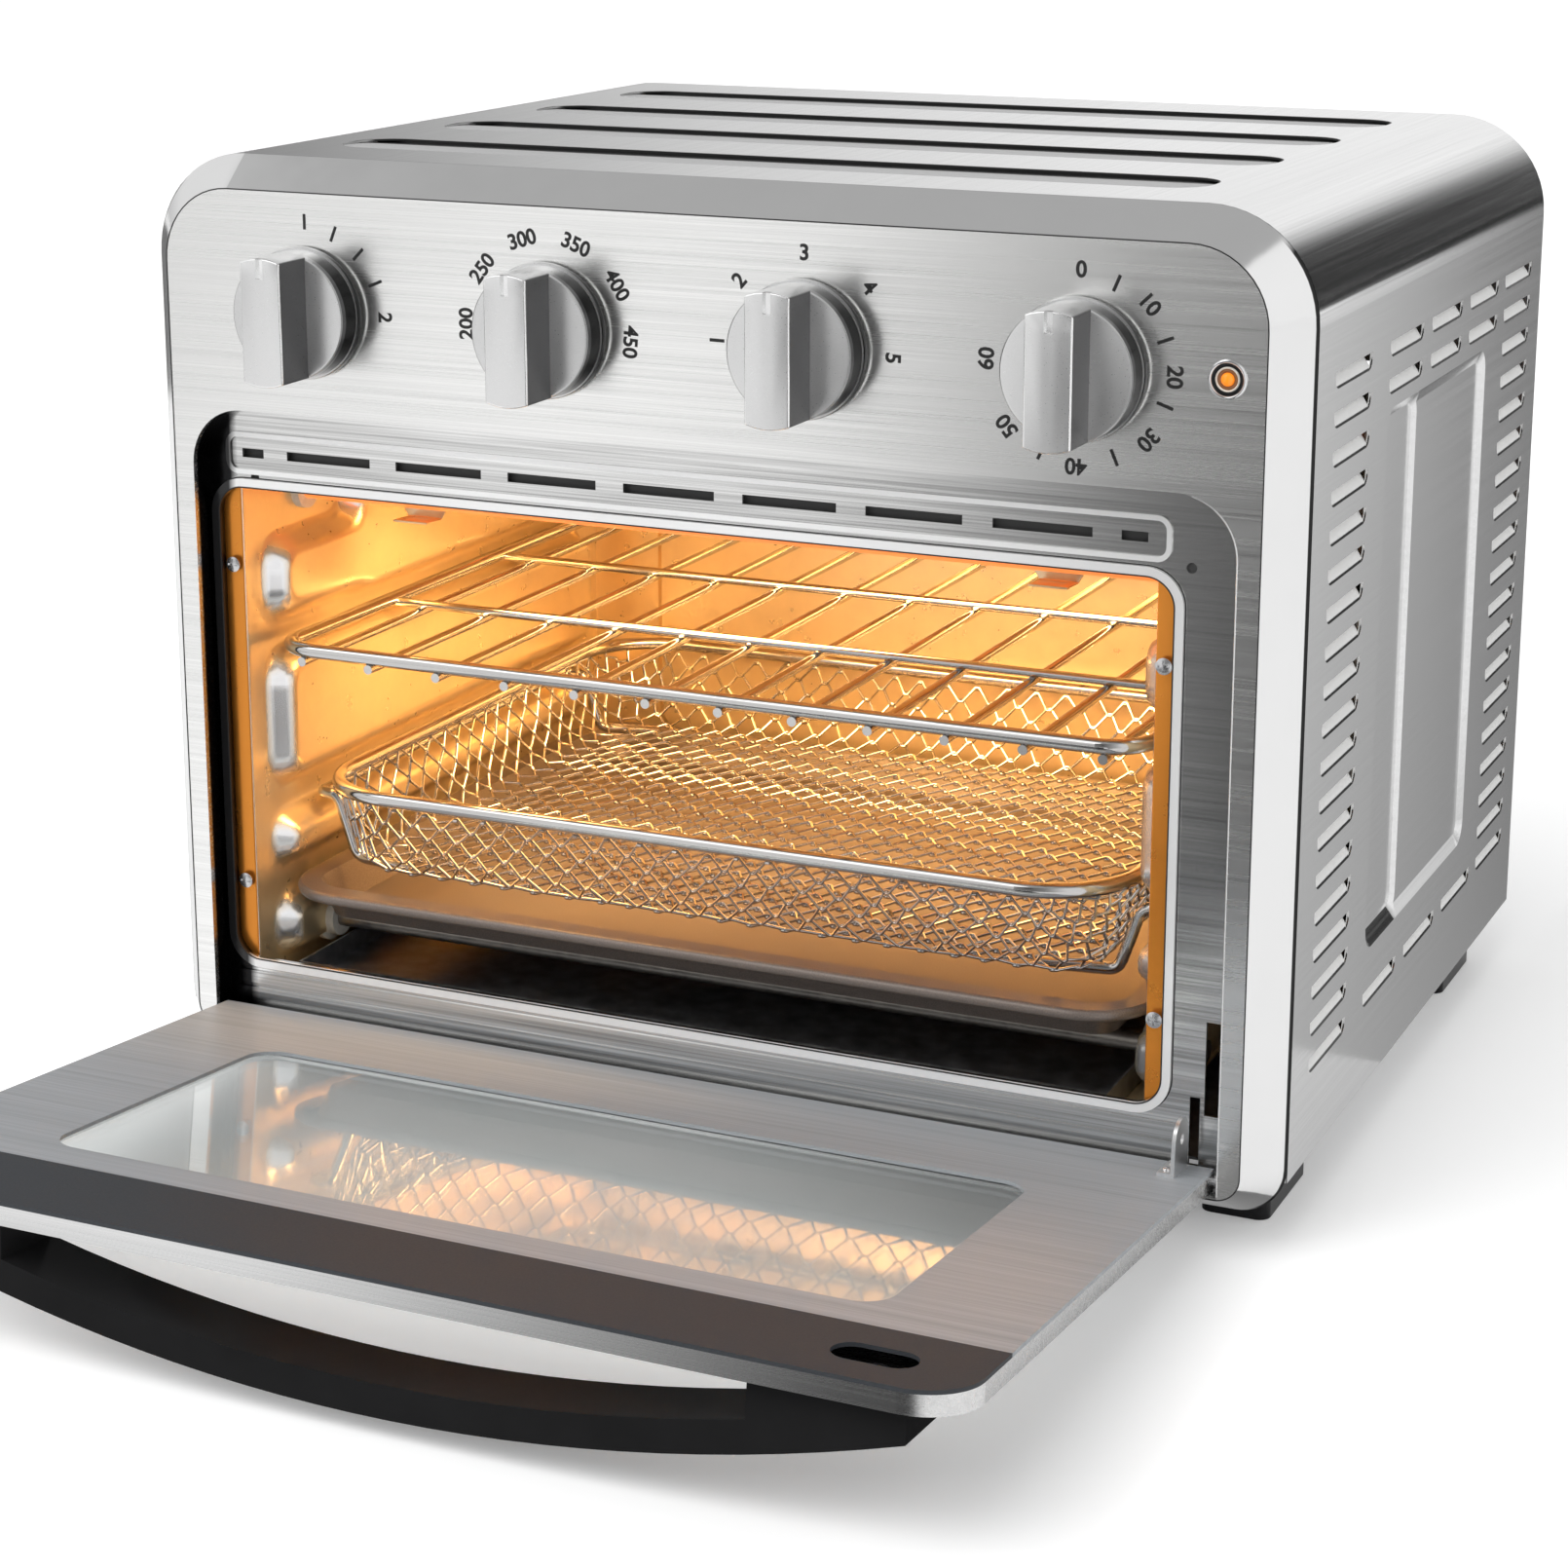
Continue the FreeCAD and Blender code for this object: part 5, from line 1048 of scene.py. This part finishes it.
def ear_rivets():
    """Two domed rivets that hold the ear's foot to the door."""
    low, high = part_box("hinge_ear")
    tilt = radians(DOOR_SLOPE)
    out = Vector((0.0, sin(tilt), cos(tilt)))
    profile = [(0.0, -0.6), (RIVET_RADIUS, -0.6), (RIVET_RADIUS, 0.25), (RIVET_RADIUS * 0.86, 0.6),
               (RIVET_RADIUS * 0.55, 0.85), (0.0, 0.95)]
    shape = bmesh.new()
    for share in RIVET_SHARES:
        y = low.y + (high.y - low.y) * share
        seat = Vector((high.x - RIVET_SETBACK * MM, y, low.z + EAR_FOOT * MM + (high.y - y) * tan(tilt)))
        turned(shape, profile, seat, axis=out, steps=24)
    keep("ear_rivets", shape, ["chrome"], "door", smooth=50.0)


def screws(name, node, axis):
    """Cross-recessed screws in place of a node's plain ones."""
    shape = bmesh.new()
    along = max(range(3), key=lambda i: abs(axis[i]))
    for low, high in solid_boxes(node):
        seat, size = (low + high) / 2.0, high - low
        radius = min(size[i] for i in range(3) if i != along) / 2.0 / MM
        length = size[along] / MM
        head = min(radius * HEAD_SHARE, length / 2.0)
        tip = high[along] if axis[along] > 0 else low[along]
        seat[along] = tip - axis[along] * head * MM
        cross_screw(shape, seat, axis, radius, head, length - head)
    keep(name, shape, ["screw"], replaced=[node], smooth=40.0)


for knob in KNOBS:
    knob_piece(knob)
dial_marks()
basket_weave()
basket_side_wires()
cavity_wall(-1.0)
cavity_wall(1.0)
element_supports()
panel_lamp()
panel_seam()
bead_painted_shade_lines()
opening_painted_highlight()
frame_hole_painted_shade_cups()
slot_blades()
painted_shade_baffle()
ear_rivets()
screws("flange_cross_screws", "flange_screws", FORWARD)
screws("foot_cross_screws", "foot_screws", Vector((0.0, 0.0, -1.0)))
screws("case_cross_screws", "case_screws", -FORWARD)


# Studio

FLOOR_GLOW = 0.22
FLOOR_REACH = 14.0
FLOOR_LEVEL = -0.0002
CARD_LEVEL = 0.0006


def floor_material():
    """Matt white floor that shows a little paler to the eye, so that it meets the white surroundings."""
    made, tree, shader = new_material("studio_floor")
    clouds = object_pattern(tree, [2.0] * 3)
    seen = add(tree, "ShaderNodeLightPath").outputs["Is Camera Ray"]
    put(shader, Base_Color=tint(tree, clouds, (0.90, 0.90, 0.90), (0.91, 0.91, 0.91)), Roughness=0.7,
        Emission_Color=(1.0, 1.0, 1.0, 1.0), Emission_Strength=spread(tree, seen, 0.0, FLOOR_GLOW, 0.0, 1.0))
    return made


def level_sheet(name, x, y, z, material, seen=True):
    """Flat sheet of the studio between two marks across and two along, seen or only reflected."""
    shape = bmesh.new()
    grid(shape, 1, 1)
    size = Matrix.Diagonal((x[1] - x[0], y[1] - y[0], 1.0, 1.0))
    middle = Vector(((x[0] + x[1]) / 2.0, (y[0] + y[1]) / 2.0, z))
    ops.transform(shape, matrix=Matrix.Translation(middle) @ size, verts=shape.verts)
    mesh = bpy.data.meshes.new(name)
    shape.to_mesh(mesh)
    shape.free()
    mesh.materials.append(material)
    sheet = show(bpy.data.objects.new(name, mesh))
    sheet.visible_camera = sheet.visible_diffuse = sheet.visible_transmission = sheet.visible_shadow = seen


def ramp_of(tree, source, low, high, levels):
    """Grey levels at values of a pattern between low and high."""
    ramp = add(tree, "ShaderNodeValToRGB", Fac=fade(tree, source, low, high))
    stops = ramp.color_ramp.elements
    for value, level in levels:
        stop = stops.new((value - low) / (high - low))
        stop.color = (level, level, level, 1.0)
    stops.remove(stops[0])
    stops.remove(stops[-1])
    return ramp.outputs["Color"]


def gradient_card(name, x, y, bearing, levels):
    """Graded card on the floor that only reflections see; its grading runs square to a bearing."""
    made, tree, _ = new_material(name)
    tree.nodes.clear()
    coords = add(tree, "ShaderNodeTexCoord").outputs["Object"]
    across = add(tree, "ShaderNodeVectorMath", operation="DOT_PRODUCT", Vector=coords)
    turn = radians(bearing)
    across.inputs[1].default_value = (cos(turn), -sin(turn), 0.0)
    shade = ramp_of(tree, across.outputs["Value"], levels[0][0] - 0.01, levels[-1][0] + 0.01, levels)
    light = add(tree, "ShaderNodeEmission", Color=shade)
    add(tree, "ShaderNodeOutputMaterial", Surface=light.outputs["Emission"])
    level_sheet(name, x, y, CARD_LEVEL, made, seen=False)


def reflection_cards():
    """Cards that grade the front from pale to grey, the right side from front to rear, and the top from the left."""
    gradient_card("front_card", (-3.0, 0.2), (-3.2, -0.03), 22.0,
                  [(-0.9, 0.5), (-0.55, 0.72), (-0.2, 1.0), (0.04, 1.0), (0.14, 0.45), (0.23, 0.06), (0.34, 0.03),
                   (1.4, 0.04)])
    gradient_card("side_card", (0.205, 1.6), (0.12, 4.0), 13.3,
                  [(-0.2, 0.10), (0.06, 0.18), (0.13, 0.25), (0.19, 0.42), (0.25, 0.58), (0.3, 0.7), (0.45, 0.95),
                   (1.4, 0.95)])
    gradient_card("rear_card", (-4.5, 0.19), (0.9, 6.0), -24.0,
                  [(-3.0, 0.14), (-0.45, 0.2), (-0.1, 0.55), (0.15, 0.85), (0.4, 0.95), (2.6, 0.95)])
    gradient_card("far_card", (-0.6, 8.0), (4.0, 13.5), 10.0,
                  [(-3.0, 1.0), (-0.3, 1.0), (0.0, 0.03), (6.0, 0.03)])


def world_light():
    """Pale surroundings with dim patches behind, left and right, that steel reflects."""
    SCENE.world = put(bpy.data.worlds.new("studio"), use_nodes=True)
    tree = SCENE.world.node_tree
    parts = object_axes(tree, "Generated")
    height = parts["Z"]
    bearing = combined(tree, combined(tree, parts["X"], parts["Y"], "ARCTAN2"), operation="DEGREES")
    levels = [(-180, 0.2), (-167, 0.25), (-158, 0.9), (-145, 1.0), (-60, 0.8), (-42, 0.15), (-33, 0.3), (-25, 0.7),
              (-18, 0.9), (3, 1.0), (7, 0.7), (11, 0.05), (24, 0.02), (30, 0.6), (60, 1.0), (140, 0.95),
              (165, 0.3), (180, 0.2)]
    ring = ramp_of(tree, bearing, -181.0, 181.0, levels)
    strip = combined(tree, fade(tree, height, 0.48, 0.52), fade(tree, height, 0.66, 0.62))
    flag = combined(tree, fade(tree, bearing, -110.0, -125.0), strip)
    lift = fade(tree, height, 0.79, 0.83)
    shade = painted_over(tree, lift, painted_over(tree, flag, ring, (0.02, 0.02, 0.02)), (0.45, 0.45, 0.45))
    seen = add(tree, "ShaderNodeLightPath").outputs["Is Camera Ray"]
    put(tree.nodes["Background"], Color=painted_over(tree, seen, shade, (1.0, 1.0, 1.0)), Strength=1.0)


def lamp(name, place, aim, width, height, watts, colour=(1.0, 1.0, 1.0)):
    """Soft rectangular lamp turned towards a point."""
    data = put(bpy.data.lights.new(name, "AREA"), shape="RECTANGLE", size=width, size_y=height, energy=watts,
               color=colour)
    turn = (aim - place).to_track_quat("-Z", "Y").to_euler()
    return put(show(bpy.data.objects.new(name, data)), location=place, rotation_euler=turn)


OVEN_LAMP_BACK = 105.0
OVEN_LAMP_DROP = 26.0


def studio_lamps():
    """Broad even daylight from the front left, a soft lamp over the front, and the warm light in the oven."""
    sun = put(bpy.data.lights.new("daylight", "SUN"), energy=1.6, angle=radians(60.0))
    put(show(bpy.data.objects.new("daylight", sun)), rotation_euler=(radians(32.0), radians(-14.0), 0.0),
        visible_glossy=False)
    lamp("key", Vector((-1.2, -1.6, 2.2)), at(0, 150, 150), 1.6, 1.6, 10.0)
    low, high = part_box("cavity_ceiling")
    inside = Vector(((low.x + high.x) / 2.0, low.y + OVEN_LAMP_BACK * MM, low.z - OVEN_LAMP_DROP * MM))
    warm = lamp("oven_lamp", inside, inside + Vector((-0.02, 0.04, -0.1)), 0.28, 0.07, 1.2, (1.0, 0.56, 0.20))
    warm.data.spread = radians(132.0)


SENSOR_WIDTH = 36.0
FOCAL_SHARE = 3457.2 / 1610.0
CAMERA_PLACE = (449.3, -909.5, 430.6)
CAMERA_DOWN = 14.0
CAMERA_TURN = 24.47
PICTURE_SHIFT = -0.1


def studio_camera():
    """Camera from the front right and above, with its picture shifted down."""
    data = put(bpy.data.cameras.new("view"), sensor_width=SENSOR_WIDTH, lens=FOCAL_SHARE * SENSOR_WIDTH,
               shift_y=PICTURE_SHIFT, clip_start=0.05)
    turn = (radians(90.0 - CAMERA_DOWN), 0.0, radians(CAMERA_TURN))
    SCENE.camera = put(show(bpy.data.objects.new("view", data)), location=at(*CAMERA_PLACE), rotation_euler=turn)


SCENE.view_settings.view_transform = "Standard"
level_sheet("floor", (-FLOOR_REACH, FLOOR_REACH), (-FLOOR_REACH, FLOOR_REACH), FLOOR_LEVEL, floor_material())
reflection_cards()
world_light()
studio_lamps()
studio_camera()
